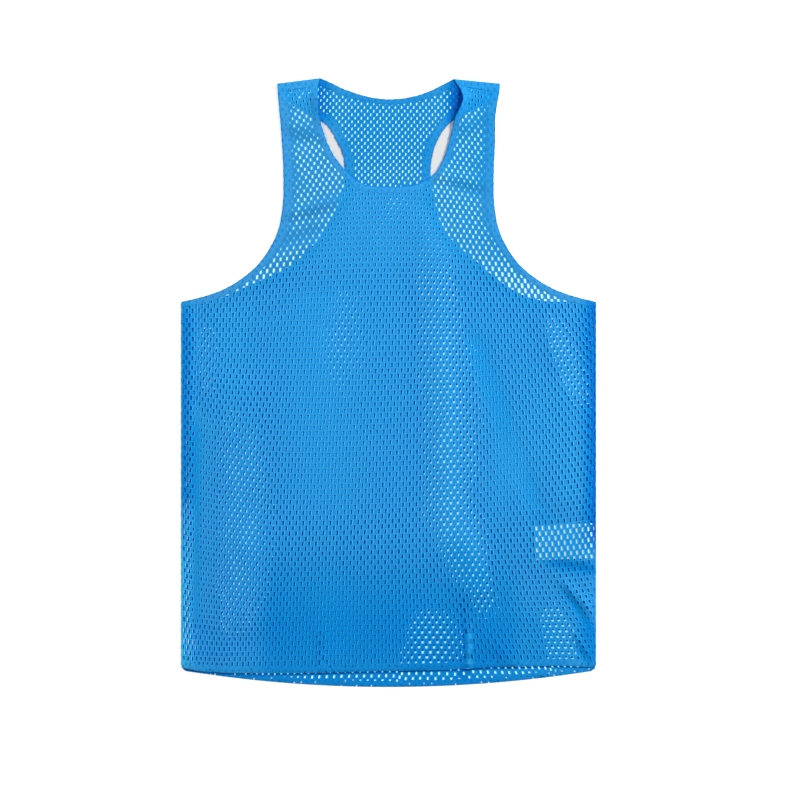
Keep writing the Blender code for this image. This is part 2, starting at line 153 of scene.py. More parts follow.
def inset(edge, width, turn, first_cut=None, last_cut=None):
    """The line beside an edge at a width, inside the cloth: edge + normal × width. turn is +1
    where the cloth is left of the edge's direction. Near an end with a cut, it slides along
    itself so that it ends on that cut's direction through the edge's end."""
    run = lengths(edge)
    along = np.gradient(edge, run, axis=0)
    along /= np.linalg.norm(along, axis=1)[:, None]
    normal = turn * np.stack([-along[:, 1], along[:, 0]], axis=1)
    width = np.broadcast_to(np.asarray(width, float), len(edge))
    slide = np.zeros(len(edge))
    for end, cut, distance in ((0, first_cut, run), (-1, last_cut, run[-1] - run)):
        if cut is not None:
            push = width[end] * np.dot(cut, along[end]) / np.dot(cut, normal[end])
            slide += push * np.clip(1.0 - distance / max(3.0 * abs(push), 1.0), 0.0, 1.0)
    return edge + normal * width[:, None] + along * slide[:, None]


print("half of the front neck:", len(curve_through(FRONT_NECK["left"])), "points, 2 mm apart")

# %% The edges
NECK_SAG = 1.1  # how much lower the back neck's middle lies than its even curve
UNDERARM_SAG = {"left": 1.4, "right": 0.9}  # and the armholes, under the arm
STRAP_NARROWER = {"left": 0.0, "right": 2.2}  # how much a strap is drawn in near its shoulder


def shoulder_line(side):
    """Ends of the shoulder seam and of the fold above it, each as an (armhole, neck) pair."""
    return np.array([ARMHOLE[-1], FRONT_NECK[side][-1]]), np.array([SHOULDER_TIP, BACK_NECK[side][-1]])


def whole_line(halves):
    """A line across the centre from its two halves: the left one mirrored and reversed, then
    the right one without its repeated centre point."""
    left = np.array(halves["left"]) * (-1.0, 1.0)
    return np.concatenate([left[::-1], np.array(halves["right"])[1:]])


def front_hem_y(x):
    """Y of the front hem's edge at each x."""
    edge = curve_through(FRONT_HEM)
    return np.interp(x, edge[:, 0], edge[:, 1])


def back_hem_y(x):
    """Y of the back hem's edge before its corners: a shallow parabola, 20 (x / 250)² − 367.5."""
    return BACK_HEM_RISE * (x / HALF_CHEST) ** 2 - BACK_HEM_DROP


def corner_rise(x):
    """How much the round corners lift the back hem's edge: a quarter circle at each side."""
    past = np.clip(np.abs(x) - (HALF_CHEST - HEM_CORNER), 0.0, HEM_CORNER)
    return HEM_CORNER - np.sqrt(HEM_CORNER**2 - past**2)


def arm_line(side):
    """The front's armhole edge for one half. It hangs lower under the arm than its even
    curve, and is drawn in near the shoulder: each change is a bell, exp(−(distance / width)²)."""
    line = curve_through(ARMHOLE)
    line[:, 1] -= UNDERARM_SAG[side] * np.exp(-(((line[:, 0] - 198.0) / 34.0) ** 2))
    line[:, 0] -= STRAP_NARROWER[side] * np.exp(-(((line[:, 1] - 322.0) / 22.0) ** 2))
    return line


front_neck_edge = curve_through(whole_line(FRONT_NECK))
back_neck_edge = curve_through(whole_line(BACK_NECK))
back_neck_edge[:, 1] -= NECK_SAG * smooth((78.0 - np.abs(back_neck_edge[:, 0])) / 25.0)
arm_edge = {side: arm_line(side) for side in SIDES}
racer_edge = {side: curve_through(RACER_ARMHOLE[side]) for side in SIDES}
bound_edges = {"front neck": front_neck_edge, "back neck": back_neck_edge, "armhole": arm_edge["left"]}
for name, edge in bound_edges.items():
    print(name, round(lengths(edge)[-1]), "mm")

# %% [markdown]
# ## How it lies
#
# The back lies flat on the surface. The front lies on it with a little air between, and
# comes down to the surface beside the racerback, where no back lies under it. Blender's
# cloth simulation could drop the front and find folds, but not the folds that this singlet
# has. So the front's height is worked out, and its folds are placed one by one: each is a
# soft stroke, a bell across its own line that fades at both ends.

# %% Heights and margins
KNIT_WALL, SEAM_GAP, CROWN = 1.0, 0.3, 0.3  # a layer, the gap to the next, and the rise over a binding
OVER_BACK = KNIT_WALL + SEAM_GAP
OVER_LABEL = OVER_BACK + 1.0 + SEAM_GAP
AT_SHOULDER = 2.2  # the front's underside at the shoulder seam
AIR, STRAP_AIR = 1.0, 1.6  # under the front's body, and under its straps
EDGE_MARGIN, EDGE_DROP = 14.0, 22.0  # how far outside the racerback the front comes down, and over how much
BAND_MARGIN, BAND_FADE = 24.0, 20.0  # how far inside the racerback its binding is felt, and the fade
SIDE_RISE, SHOULDER_RISE = 14.0, 17.0  # how far from a side and a shoulder the front is pulled down
BACK_RISE, BACK_RISES_OVER = 0.9, 14.0  # how much the back rises into the shoulder strips, and over how much
LABEL_MARGIN, LABEL_FADE = 14.0, 14.0  # how far round the label the front is lifted, and the fade
LABEL_SEAM, LABEL_LENGTH, LABEL_WIDTH, LABEL_SLOPE = (249.6, -190.6), 72.0, 42.0, math.radians(2.0)
FADE = 34.0  # mm over which a fold fades at each of its ends

print("the front's underside is", round(OVER_BACK, 1), "mm up where it touches the back")

# %% Folds
# x0, y0, x1, y1, half width, height (below 0 it sinks)
FOLDS = (
    (-243.0, 70.0, -244.0, -345.0, 8.0, 2.2),  # left side roll
    (243.0, 78.0, 242.0, -190.0, 8.0, 2.4),  # right side roll
    (-229.0, 100.0, -236.0, -60.0, 5.0, -1.2),  # left side trough
    (-231.0, -150.0, -241.0, -210.0, 5.0, -1.2),  # left low trough
    (-224.0, -232.0, -247.0, -296.0, 6.0, 1.3),  # left low ridge
    (-176.0, 10.0, -178.0, -300.0, 32.0, 2.4),  # left broad wave
    (-85.0, 120.0, -60.0, -330.0, 40.0, -0.8),  # middle hollow
    (-30.0, 168.0, 24.0, 240.0, 10.0, 1.4),  # chest streak
    (44.0, 200.0, 68.0, 20.0, 24.0, 2.8),  # long wave
    (68.0, 20.0, 74.0, -160.0, 26.0, 3.2),  # long wave
    (74.0, -160.0, 112.0, -260.0, 24.0, 2.6),  # long wave
    (99.0, 60.0, 159.0, -105.0, 13.0, -1.3),  # trough beside the long wave
    (159.0, -105.0, 190.0, -180.0, 12.0, -1.2),  # trough beside the long wave
    (196.0, 90.0, 226.0, -30.0, 20.0, 2.4),  # right broad wave
    (226.0, -30.0, 214.0, -150.0, 20.0, 2.4),  # right broad wave
    (138.0, -70.0, 134.0, -300.0, 16.0, -0.7),  # right inner trough
    (208.0, -219.0, 252.0, -228.0, 4.0, -1.5),  # crease under the label
    (208.0, -238.0, 252.0, -284.0, 6.0, 3.0),  # right diagonal ridge
    (214.0, -253.0, 250.0, -306.0, 5.0, -1.4),  # right diagonal trough
    (222.0, -300.0, 246.0, -334.0, 5.0, 1.6),  # low right ridge
    (224.0, -311.0, 243.0, -340.0, 4.0, -1.0),  # low right trough
    (96.0, -290.0, 96.5, -362.0, 2.6, 1.5),  # hem crease
    (89.0, -280.0, 90.0, -362.0, 4.0, -0.5),  # hem crease hollow
    (-81.0, -300.0, -80.0, -354.0, 4.0, 1.5),  # small hem crease
    (128.0, -316.0, 152.0, -340.0, 8.0, 1.4),  # short hem crease
    (-196.0, -300.0, -200.0, -352.0, 14.0, 1.2),  # left hem wave
    (-84.0, 372.0, -81.0, 318.0, 10.0, 5.5),  # left strap edge
    (89.0, 372.0, 80.0, 318.0, 12.0, 8.0),  # right strap edge
    (-240.0, -196.0, 250.0, -200.0, 40.0, 1.6),  # swell above the lower body
    (-124.0, 312.0, -84.0, 305.0, 9.0, 1.2),  # left strap fold
    (-120.0, 294.0, -68.0, 284.0, 7.0, -1.1),  # left strap hollow
    (-124.0, 203.0, -60.0, 222.0, 6.0, 2.2),  # left strap base fold
    (-122.0, 190.0, -66.0, 206.0, 4.5, -1.5),  # left strap base hollow
    (-122.0, 170.0, -80.0, 186.0, 5.5, -1.6),  # left armhole hollow
    (-140.0, 141.0, -86.0, 172.0, 6.5, 2.4),  # left armhole fold
    (52.0, 254.0, 118.0, 240.0, 8.0, 1.3),  # right strap base fold
    (52.0, 240.0, 116.0, 228.0, 7.0, -1.0),  # right strap base hollow
    (88.0, 316.0, 120.0, 342.0, 6.0, -1.1),  # right strap hollow
    (86.0, 302.0, 124.0, 332.0, 7.0, 1.3),  # right strap fold
    (118.0, 184.0, 176.0, 128.0, 12.0, 1.6),  # right armhole fold
)

print(len(FOLDS), "folds, the highest", max(fold[-1] for fold in FOLDS), "mm")

# %% [markdown]
# ## Light in the cloth
#
# Thin blue cloth over white lets light through and throws it back, so it is brightest where
# it is pulled flat, and deeper where it is doubled, turns away or lies in a hollow. Real
# translucency behind some ten thousand holes would need far more samples than this picture
# is worth. Instead every point gets a tone of painted light and shade, 1 plus a sum of the
# same soft strokes, and the cloth's material reads it.

# %% Tones of painted light and shade
# How the painted tone goes: x0, y0, x1, y1, half width, share. It falls as painted shade where
# the cloth is doubled, turned away or lies in a hollow, and rises as painted light on a lit side.
FRONT_PAINTED_SHADING_STROKES = (
    (250.0, 100.0, 251.0, -195.0, 11.0, -0.36),  # right side, turned down
    (-248.0, 92.0, -247.0, -200.0, 9.0, -0.10),  # left side
    (-150.0, -300.0, 150.0, -306.0, 66.0, -0.12),  # lower body
    (20.0, -338.0, 215.0, -336.0, 26.0, -0.05),  # above the right hem
    (99.0, 60.0, 190.0, -170.0, 14.0, -0.03),  # beside the long wave
    (236.0, -292.0, 250.0, -340.0, 9.0, -0.14),  # low right corner
    (-244.0, -150.0, -246.0, -350.0, 9.0, 0.2),  # left side, low
    (-232.0, -50.0, -234.0, -300.0, 5.0, -0.08),  # left side's trough
    (78.0, -195.0, 112.0, -244.0, 15.0, -0.05),  # below the long wave
    (150.0, -290.0, 205.0, -300.0, 22.0, -0.04),  # right lower body
    (178.0, -192.0, 250.0, -192.0, 20.0, -0.03),  # over the label
    (-245.0, -346.0, 245.0, -346.0, 5.0, -0.03),  # front hem
    (164.0, -40.0, 152.0, -130.0, 16.0, 0.025),  # beside the right inner trough
    (206.0, 10.0, 214.0, -150.0, 28.0, 0.05),  # right broad wave
    (-195.0, 100.0, -195.0, -60.0, 26.0, 0.04),  # left broad wave
    (196.0, -217.0, 252.0, -226.0, 6.0, -0.18),  # under the label
    (214.0, -253.0, 250.0, -306.0, 5.0, -0.12),  # right diagonal trough
    (224.0, -311.0, 243.0, -340.0, 4.0, -0.10),  # low right trough
    (91.5, -285.0, 92.0, -360.0, 1.6, -0.12),  # hem crease, dark side
    (97.5, -296.0, 98.0, -360.0, 2.4, 0.24),  # hem crease, lit side
    (-140.0, 350.0, -80.0, 250.0, 60.0, 0.01),  # left strap
    (140.0, 350.0, 80.0, 250.0, 60.0, -0.04),  # right strap
    (60.0, 240.0, 160.0, 130.0, 30.0, -0.02),  # right strap's base
)
# Painted shade on the back, in the same columns
BACK_PAINTED_SHADE_STROKES = (
    (-60.0, 300.0, 60.0, 300.0, 75.0, -0.08),  # yoke
    (-243.0, 90.0, -244.0, -350.0, 9.0, -0.25),  # under the left side
    (-84.0, 384.0, -76.0, 316.0, 10.0, -0.22),  # left hollow
    (90.0, 384.0, 82.0, 316.0, 12.0, -0.56),  # right hollow
    (-240.0, -362.0, 240.0, -362.0, 14.0, -0.14),  # hem
    (90.0, -250.0, 91.0, -352.0, 6.0, -0.35),  # beside the hem's crease
)

print(len(FRONT_PAINTED_SHADING_STROKES), "strokes of tone on the front,", len(BACK_PAINTED_SHADE_STROKES), "on the back")

# %% Strokes and distances
def strokes(table, x, y, fade=FADE):
    """Sum of strokes: height × exp(−(distance across / half width)²) × a fade at both ends,
    centred on the end and this many mm long."""
    total = np.zeros(np.shape(x))
    for x0, y0, x1, y1, width, height in table:
        dx, dy = x1 - x0, y1 - y0
        length = math.hypot(dx, dy)
        share = ((x - x0) * dx + (y - y0) * dy) / length**2
        across = ((x - x0) * dy - (y - y0) * dx) / length
        part = min(fade / length, 0.9)
        ends = smooth((np.minimum(share, 1.0 - share) + part / 2) / part)
        total += height * np.exp(-((across / width) ** 2)) * ends
    return total


def nearest_on(line, points):
    """The nearest point of a polyline to each point: on every span, the foot of the
    perpendicular kept between its ends, then the closest of them."""
    start, step = line[:-1], np.diff(line, axis=0)
    away = points[:, None, :] - start
    share = np.clip((away * step).sum(-1) / np.maximum((step * step).sum(-1), 1e-12), 0.0, 1.0)
    feet = start + share[..., None] * step
    best = np.linalg.norm(points[:, None, :] - feet, axis=-1).argmin(1)
    return feet[np.arange(len(points)), best]


def inside_back(x, y):
    """Signed distance to the racerback's armhole edges, above 0 on the back."""
    shape = np.shape(x)
    points = np.stack([np.ravel(x), np.ravel(y)], axis=1)
    nearest = np.full(len(points), np.inf)
    within = np.ones(len(points), bool)
    for side, sign in SIDES.items():
        line = racer_edge[side][::3] * (sign, 1.0)
        nearest = np.minimum(nearest, np.linalg.norm(points - nearest_on(line, points), axis=1))
        within &= sign * points[:, 0] <= sign * np.interp(points[:, 1], line[:, 1], line[:, 0])
    return np.where(within, nearest, -nearest).reshape(shape)


lift = strokes(FOLDS, np.array([71.0]), np.array([-40.0]))[0]
print("the folds lift the long wave by", round(float(lift), 1), "mm")

# %% Height of the front and the back
def label_cover(x, y):
    """1 over the care label and LABEL_MARGIN round it, falling to 0 over LABEL_FADE."""
    beyond_x = np.abs(x - LABEL_SEAM[0] + LABEL_LENGTH / 2) - LABEL_LENGTH / 2 - LABEL_MARGIN
    beyond_y = np.abs(y - LABEL_SEAM[1]) - LABEL_WIDTH / 2 - LABEL_MARGIN
    return smooth(1.0 - np.maximum(beyond_x, beyond_y) / LABEL_FADE)


def below_shoulder(x, y):
    """Distance down from the shoulder seam's straight line, for the strap on x's side: the
    line's Y at x, less y."""
    depth = np.zeros(np.shape(x))
    for side, sign in SIDES.items():
        (x_arm, y_arm), (x_neck, y_neck) = shoulder_line(side)[0]
        seam_y = y_arm + (y_neck - y_arm) * (sign * x - x_arm) / (x_neck - x_arm)
        depth = np.where(sign * x > 0, seam_y - y, depth)
    return depth


def front_base(x, y):
    """Underside of the front: OVER_BACK where the back lies under it, plus the air and the
    folds, both less near a side. It is never lower than the label needs, and near the shoulder
    seam it goes over to AT_SHOULDER."""
    edge = inside_back(x, y)
    over_back = smooth((edge + EDGE_MARGIN + EDGE_DROP) / EDGE_DROP)
    near_band = 1.0 - smooth((edge - BAND_MARGIN) / BAND_FADE)
    carried = over_back * (OVER_BACK + CROWN * near_band)
    from_side = smooth((HALF_CHEST - np.abs(x)) / SIDE_RISE)
    air = STRAP_AIR + (AIR - STRAP_AIR) * over_back
    loose = (air + strokes(FOLDS, x, y)) * from_side
    height = carried + np.maximum(loose, 0.0)
    height = np.maximum(height, OVER_LABEL * label_cover(x, y))
    at_shoulder = smooth(1.0 - below_shoulder(x, y) / SHOULDER_RISE)
    return height + (AT_SHOULDER - height) * at_shoulder


def back_base(x, y):
    """The back lies flat, and rises a little into the shoulder strips."""
    return BACK_RISE * smooth(1.0 - below_shoulder(x, y) / BACK_RISES_OVER)


height = front_base(np.array([75.0]), np.array([0.0]))[0]
print("the front stands", round(float(height), 1), "mm up on its long wave")

# %% Tone of the front and the back
def covered(x, y):
    """1 where the front lies over the back, falling to 0 over the last 4 mm before its neck and
    its hem."""
    order = np.argsort(front_neck_edge[:, 0])
    neck = np.interp(x, front_neck_edge[order, 0], front_neck_edge[order, 1], left=400.0, right=400.0)
    return smooth((neck - y) / 4.0) * smooth((y - front_hem_y(x)) / 4.0)


def front_painted_shading(x, y):
    """The front's painted light and shade: 1 plus its strokes, less a band of painted shade over
    the racerback's binding, which no white shows through: 0.02 exp(−((distance inside − 5.5) / 6)²),
    fading to the sides."""
    under = np.exp(-(((inside_back(x, y) - 5.5) / 6.0) ** 2)) * smooth((235.0 - np.abs(x)) / 60.0)
    return 1.0 + strokes(FRONT_PAINTED_SHADING_STROKES, x, y) - 0.02 * under


def back_painted_shade(x, y):
    """The back's painted shade: 1 plus its strokes, less 0.28 × a bell 9 mm inside the racerback's
    edges under the front, where the holes look deepest, and 0.22 × a bell along the front's hem,
    a painted shadow of its edge."""
    edge = np.exp(-(((inside_back(x, y) - 9.0) / 9.0) ** 2)) * covered(x, y) * smooth((y - 95.0) / 30.0)
    hem = np.exp(-(((y - front_hem_y(x) + 0.5) / 2.0) ** 2))
    return 1.0 + strokes(BACK_PAINTED_SHADE_STROKES, x, y) - 0.28 * edge - 0.22 * hem


def single_front(x, y):
    """1 where the front has no back under it: a step over 8 mm across the racerback's edges,
    which fades over the 10 mm below the shoulder seam."""
    return smooth(0.5 - inside_back(x, y) / 8.0) * smooth(below_shoulder(x, y) / 10.0)


def single_back(x, y):
    """1 in the yoke, where the back has no front over it: 1 − covered, above the side seams."""
    return (1.0 - covered(x, y)) * smooth((y - 100.0) / 20.0)


tone = back_painted_shade(np.array([86.0]), np.array([350.0]))[0]
print("the back's tone in the right shoulder's hollow is", round(float(tone), 2))

# %% [markdown]
# ## Materials
#
# The singlet is polyester throughout: a warp-knitted net, a close knit in its bindings and
# hems, a woven tape and sewing thread. Dyed polyester yarn is matt and even, so each has a
# high roughness and next to no shine. A photo of cloth as a texture would bring its own
# light with it. Here the pattern is worked out on each piece's own UV, in millimetres of
# cloth, so it runs along the wales, the columns of loops, however the cloth is stretched.

# %% Colours and nodes
def linear(hex_colour):
    """Linear RGBA from an sRGB hex colour."""
    srgb = np.array([int(hex_colour[i : i + 2], 16) for i in (0, 2, 4)]) / 255
    return (*np.where(srgb <= 0.04045, srgb / 12.92, ((srgb + 0.055) / 1.055) ** 2.4), 1.0)


def add(tree, kind, inputs=None, **settings):
    """A new node with its settings and its inputs: a value is set, a socket is linked."""
    node = tree.nodes.new(kind)
    for key, value in settings.items():
        setattr(node, key, value)
    for key, value in (inputs or {}).items():
        if isinstance(value, bpy.types.NodeSocket):
            tree.links.new(value, node.inputs[key])
        else:
            node.inputs[key].default_value = value
    return node


print("the net's blue in linear light:", np.round(linear("1D8FD4")[:3], 3))

# %% [markdown]
# ## A knitted cloth
#
# Close up, knit is rows of loops. Here single loops are finer than the picture can show, so
# they are drawn as streaks along the wales, and the loops beside a hole, which stand up and
# catch the light, as a paler ring, a bump with a painted highlight. A close knit of the same
# yarn has its holes shut, which leaves small deeper dashes. Both come from one lattice, a
# product of two cosines that is 1 on every hole's centre, because a product of waves costs
# nothing and never drifts from the holes. Last, the colour answers to where the point lies,
# as painted light and shade: its tone, how far the front covers it, and whether it is a single
# layer on white.

# %% A knitted cloth
WALE, COURSE = 8.0, 6.1  # mm between two columns of holes, and between two rows
# colours of the loops' painted highlight beside a hole, and of a shut hole's dash
LOOP_HIGHLIGHT, SHUT_HOLE = "54C2FF", "0A6FC4"
UNDER_CLOTH = "00A4F0"  # the back seen by light that has come through the front
RIBS, DASHES = (-0.2, 0.45), (0.35, 0.9)  # where on the lattice each rises from nothing to full
# the paler ring is a painted highlight, and lies a little to one side of its hole
RIB_LEAN = -0.2  # radians: the paler ring lies a little to one side of its hole
# painted shade and painted light: factors of red, green, blue for a whole tone below and above 1
DEEPER, LIGHTER = (1.5e-8, 0.12, 0.5), (3.0, 8.2, 2.5)  # factors of red, green, blue for a whole tone
# painted light and shade of one layer over the white surface
SINGLE = (1.42, 0.885, 0.86)  # factors for one layer over white


def streaks(tree, uv, hex_colour, per_mm, grain):
    """Colour × (1 ± grain) by a fine noise stretched along the wales, and the noise as height."""
    scaled = add(tree, "ShaderNodeMapping", {"Vector": uv.outputs[0], "Scale": per_mm})
    noise = add(tree, "ShaderNodeTexNoise", {"Vector": scaled.outputs[0], "Scale": 1.0, "Detail": 2.0})
    base = linear(hex_colour)
    dark = tuple(c * (1 - grain) for c in base[:3]) + (1.0,)
    light = tuple(min(c * (1 + grain), 1.0) for c in base[:3]) + (1.0,)
    mix = add(tree, "ShaderNodeMix", {0: noise.outputs[0], 6: dark, 7: light}, data_type="RGBA")
    return mix.outputs[2], noise.outputs[0]


def loops(tree, uv, colour, height, ribs, dashes):
    """Rings of painted highlight, and dashes, by the lattice cos(2πu / WALE) × cos(πv / COURSE):
    each mixes its own colour in by its amount and adds that to the height, less where the cloth
    is pulled flat."""
    place = add(tree, "ShaderNodeSeparateXYZ", {0: uv.outputs[0]})
    waves = []
    for axis, turns, start in ((0, 2 * math.pi / WALE, RIB_LEAN), (1, math.pi / COURSE, 0.0)):
        angle = add(tree, "ShaderNodeMath", {0: place.outputs[axis], 1: turns}, operation="MULTIPLY")
        moved = add(tree, "ShaderNodeMath", {0: angle.outputs[0], 1: start if ribs else 0.0})
        waves.append(add(tree, "ShaderNodeMath", {0: moved.outputs[0]}, operation="COSINE").outputs[0])
    lattice = add(tree, "ShaderNodeMath", {0: waves[0], 1: waves[1]}, operation="MULTIPLY")
    pulled = add(tree, "ShaderNodeAttribute", attribute_name="flat")
    loose = add(tree, "ShaderNodeMath", {0: 1.0, 1: pulled.outputs["Fac"]}, operation="SUBTRACT")
    for amount, (low, high), other in ((ribs, RIBS, LOOP_HIGHLIGHT), (dashes, DASHES, SHUT_HOLE)):
        if amount:
            ring = add(
                tree, "ShaderNodeMapRange", {0: lattice.outputs[0], 1: low, 2: high, 3: 0.0, 4: amount},
                interpolation_type="SMOOTHSTEP",
            )
            seen = {0: ring.outputs[0], 1: loose.outputs[0]}
            seen = add(tree, "ShaderNodeMath", seen, operation="MULTIPLY").outputs[0]
            mixed = add(tree, "ShaderNodeMix", {0: seen, 6: colour, 7: linear(other)}, data_type="RGBA")
            raised = add(tree, "ShaderNodeMath", {0: seen, 1: height}, operation="ADD")
            colour, height = mixed.outputs[2], raised.outputs[0]
    return colour, height


def in_its_place(tree, colour):
    """The colour where the point lies, with its painted light and shade: mixed to UNDER_CLOTH as
    far as the front covers it, then × DEEPER^(1 − tone) below a tone of 1 or × LIGHTER^(tone − 1)
    above it, then × SINGLE."""
    under = add(tree, "ShaderNodeAttribute", attribute_name="covered")
    deep = {0: under.outputs["Fac"], 6: colour, 7: linear(UNDER_CLOTH)}
    colour = add(tree, "ShaderNodeMix", deep, data_type="RGBA").outputs[2]
    tone = add(tree, "ShaderNodeAttribute", attribute_name="tone")
    away = add(tree, "ShaderNodeMath", {0: 1.0, 1: tone.outputs["Fac"]}, operation="SUBTRACT")
    factors = []
    for sign, shade in ((1.0, DEEPER), (-1.0, LIGHTER)):
        amount = add(tree, "ShaderNodeMath", {0: away.outputs[0], 1: sign}, operation="MULTIPLY")
        amount = add(tree, "ShaderNodeMath", {0: amount.outputs[0], 1: 0.0}, operation="MAXIMUM")
        factors.append(add(tree, "ShaderNodeGamma", {0: (*shade, 1.0), 1: amount.outputs[0]}).outputs[0])
    alone = add(tree, "ShaderNodeAttribute", attribute_name="single")
    layer = {0: alone.outputs["Fac"], 6: (1.0, 1.0, 1.0, 1.0), 7: (*SINGLE, 1.0)}
    factors.append(add(tree, "ShaderNodeMix", layer, data_type="RGBA").outputs[2])
    for factor in factors:
        toned = add(tree, "ShaderNodeVectorMath", {0: colour, 1: factor}, operation="MULTIPLY")
        colour = toned.outputs[0]
    return colour


def cloth_material(name, hex_colour, roughness, per_mm, grain, bump, ribs=0.0, dashes=0.0):
    """A knitted cloth: streaks per mm across and along, then its rings or dashes, then its
    place. The streaks and rings are also a bump of so many mm."""
    made = bpy.data.materials.new(name)
    made.use_nodes = True
    tree = made.node_tree
    shader = tree.nodes["Principled BSDF"]
    uv = add(tree, "ShaderNodeUVMap", uv_map="cloth")
    colour, height = loops(tree, uv, *streaks(tree, uv, hex_colour, per_mm, grain), ribs, dashes)
    relief = add(tree, "ShaderNodeBump", {"Height": height, "Strength": 0.5, "Distance": bump * MM})
    tree.links.new(in_its_place(tree, colour), shader.inputs["Base Color"])
    tree.links.new(relief.outputs[0], shader.inputs["Normal"])
    shader.inputs["Roughness"].default_value = roughness
    shader.inputs["Specular IOR Level"].default_value = 0.06
    return made


print("the lattice repeats every", WALE, "mm across and", 2 * COURSE, "mm along")

# %% The four finishes
# Warp-knitted net: matt, with a pale ring of raised loops beside each hole, a bump and a
# painted highlight. Its yarn is 0.2 mm thick, too fine to show, so its streaks are drawn
# coarser: 0.7 mm wide and 2.9 mm long.
knit = cloth_material("polyester_mesh_knit", "1D8FD4", 0.7, (1.4, 0.35, 1.0), grain=0.16, bump=0.14, ribs=0.8)

# Close knit of the bindings, hems and strips, doubled and so a shade paler, with the deeper
# dashes of its shut holes. Its streaks are drawn 0.9 mm wide and 4.5 mm long for the same reason.
plain = cloth_material(
    "polyester_binding_knit", "3098DA", 0.7, (1.1, 0.22, 1.0), grain=0.42, bump=0.14, dashes=0.6
)

# Woven label tape: white, with the blue that the net round it throws on it. Its weave is fine
# and flat, and is drawn 0.5 mm wide.
tape = cloth_material("polyester_label_tape", "DDF2FC", 0.6, (2.0, 2.0, 1.0), grain=0.02, bump=0.03)

# Spun sewing thread in the cloth's blue, a little smoother, so each stitch has a soft light
# side. Its twist is too fine to show, and is drawn 1 mm long and a third of a radian round.
thread = cloth_material("polyester_thread", "2A9BE0", 0.55, (1.0, 3.0, 1.0), grain=0.1, bump=0.03)
print("finishes:", ", ".join(finish.name for finish in (knit, plain, tape, thread)))

# %% [markdown]
# ## From arrays to objects
#
# Every piece of the singlet is a closed skin with its own thickness. A flat sheet with a
# Solidify modifier would do for one layer, but its walls wouldn't follow the heights worked
# out above. from_pydata takes points and faces as they are, and foreach_set fills a UV map
# or an attribute in one call. The points keep their place on the garment, so each object
# stands at the frame's origin, unturned.

# %% Mesh makers
PLAIN_SINGLE = 0.6  # a folded band hides the white under it more than one layer of net does


def new_object(name, points, faces, finish, uv, tone=front_painted_shading, shade=1.0, flat=None):
    """A mesh object from points in mm, lists of faces and one UV in mm for each point. Edges
    sharper than 50° stay sharp, and each point keeps its tone of painted light and shade times
    its shade and how far it is a single layer. A piece with the back's tone also keeps how far
    the front covers it, and a piece with a flat place how flat it is pulled there."""
    data = bpy.data.meshes.new(name)
    data.from_pydata((points * MM).tolist(), [], faces)
    layer = data.uv_layers.new(name="cloth")
    corner = np.zeros(len(data.loops), np.int32)
    data.loops.foreach_get("vertex_index", corner)
    layer.data.foreach_set("uv", uv[corner].astype(np.float32).ravel())
    x, y = points[:, 0], points[:, 1]
    single = single_back if tone is back_painted_shade else single_front
    share = PLAIN_SINGLE if finish is plain else 1.0
    kept = {"tone": tone(x, y) * shade, "single": single(x, y) * share}
    if tone is back_painted_shade:
        kept["covered"] = covered(x, y)
    if flat is not None:
        kept["flat"] = flat(x, y)
    for attribute, value in kept.items():
        values = data.attributes.new(attribute, "FLOAT", "POINT")
        values.data.foreach_set("value", value.astype(np.float32))
    data.polygons.foreach_set("use_smooth", np.ones(len(data.polygons), bool))
    data.set_sharp_from_angle(angle=math.radians(50.0))
    data.materials.append(finish)
    data.update()
    made = bpy.data.objects.new(name, data)
    bpy.context.scene.collection.objects.link(made)
    print(name, len(points), "points", sum(len(f) - 2 for f in faces), "triangles")
    return made


def grid_quads(index):
    """Four point numbers for each cell of a grid of point numbers."""
    return np.stack([index[:-1, :-1], index[:-1, 1:], index[1:, 1:], index[1:, :-1]], axis=-1).reshape(-1, 4)


def tube(name, grid, finish, uv, tone=front_painted_shading, shade=1.0):
    """Skin of a closed section carried along a path, with an end cap at each end. grid is
    (stations, section points, 3), and faces point out for a section that turns clockwise
    seen along the path."""
    stations, around = grid.shape[:2]
    index = np.arange(stations * around).reshape(stations, around)
    right = np.roll(index, -1, axis=1)
    quads = np.stack([index[:-1], right[:-1], right[1:], index[1:]], axis=-1).reshape(-1, 4)
    faces = quads.tolist() + [index[0, ::-1].tolist(), index[-1].tolist()]
    return new_object(name, grid.reshape(-1, 3), faces, finish, uv.reshape(-1, 2), tone, shade)


print("a point at the chest's side lies", HALF_CHEST * MM, "m from the centre line in its mesh")

# %% [markdown]
# ## The mesh knit
#
# The net is what makes this cloth: six-sided holes in staggered rows, with narrow bridges
# between them. A texture could only paint them, and cutting each one out by a boolean would
# take hours. But the pattern is regular, so its faces follow from counting: every hole has
# the same six corners, and each face of the net joins corners of neighbouring holes, a bridge
# to the right, one up right, one up left, and a triangle above and below each right-hand
# bridge. The net is made flat and even first, then stretched by a small table of where
# columns and rows of holes meet on the garment, since the real cloth lies pulled askew.

# %% A hole, and how the cloth is stretched
HOLE_WIDTH, HOLE_HEIGHT, HOLE_SHOULDER = 2.3, 5.7, 2.3  # mm, the last from the centre to where the sides end
CORNERS = np.array(
    [
        (0.0, HOLE_HEIGHT / 2), (HOLE_WIDTH / 2, HOLE_SHOULDER), (HOLE_WIDTH / 2, -HOLE_SHOULDER),
        (0.0, -HOLE_HEIGHT / 2), (-HOLE_WIDTH / 2, -HOLE_SHOULDER), (-HOLE_WIDTH / 2, HOLE_SHOULDER),
    ]
)
TOP, UP_RIGHT, LOW_RIGHT, BOTTOM, LOW_LEFT, UP_LEFT = range(6)

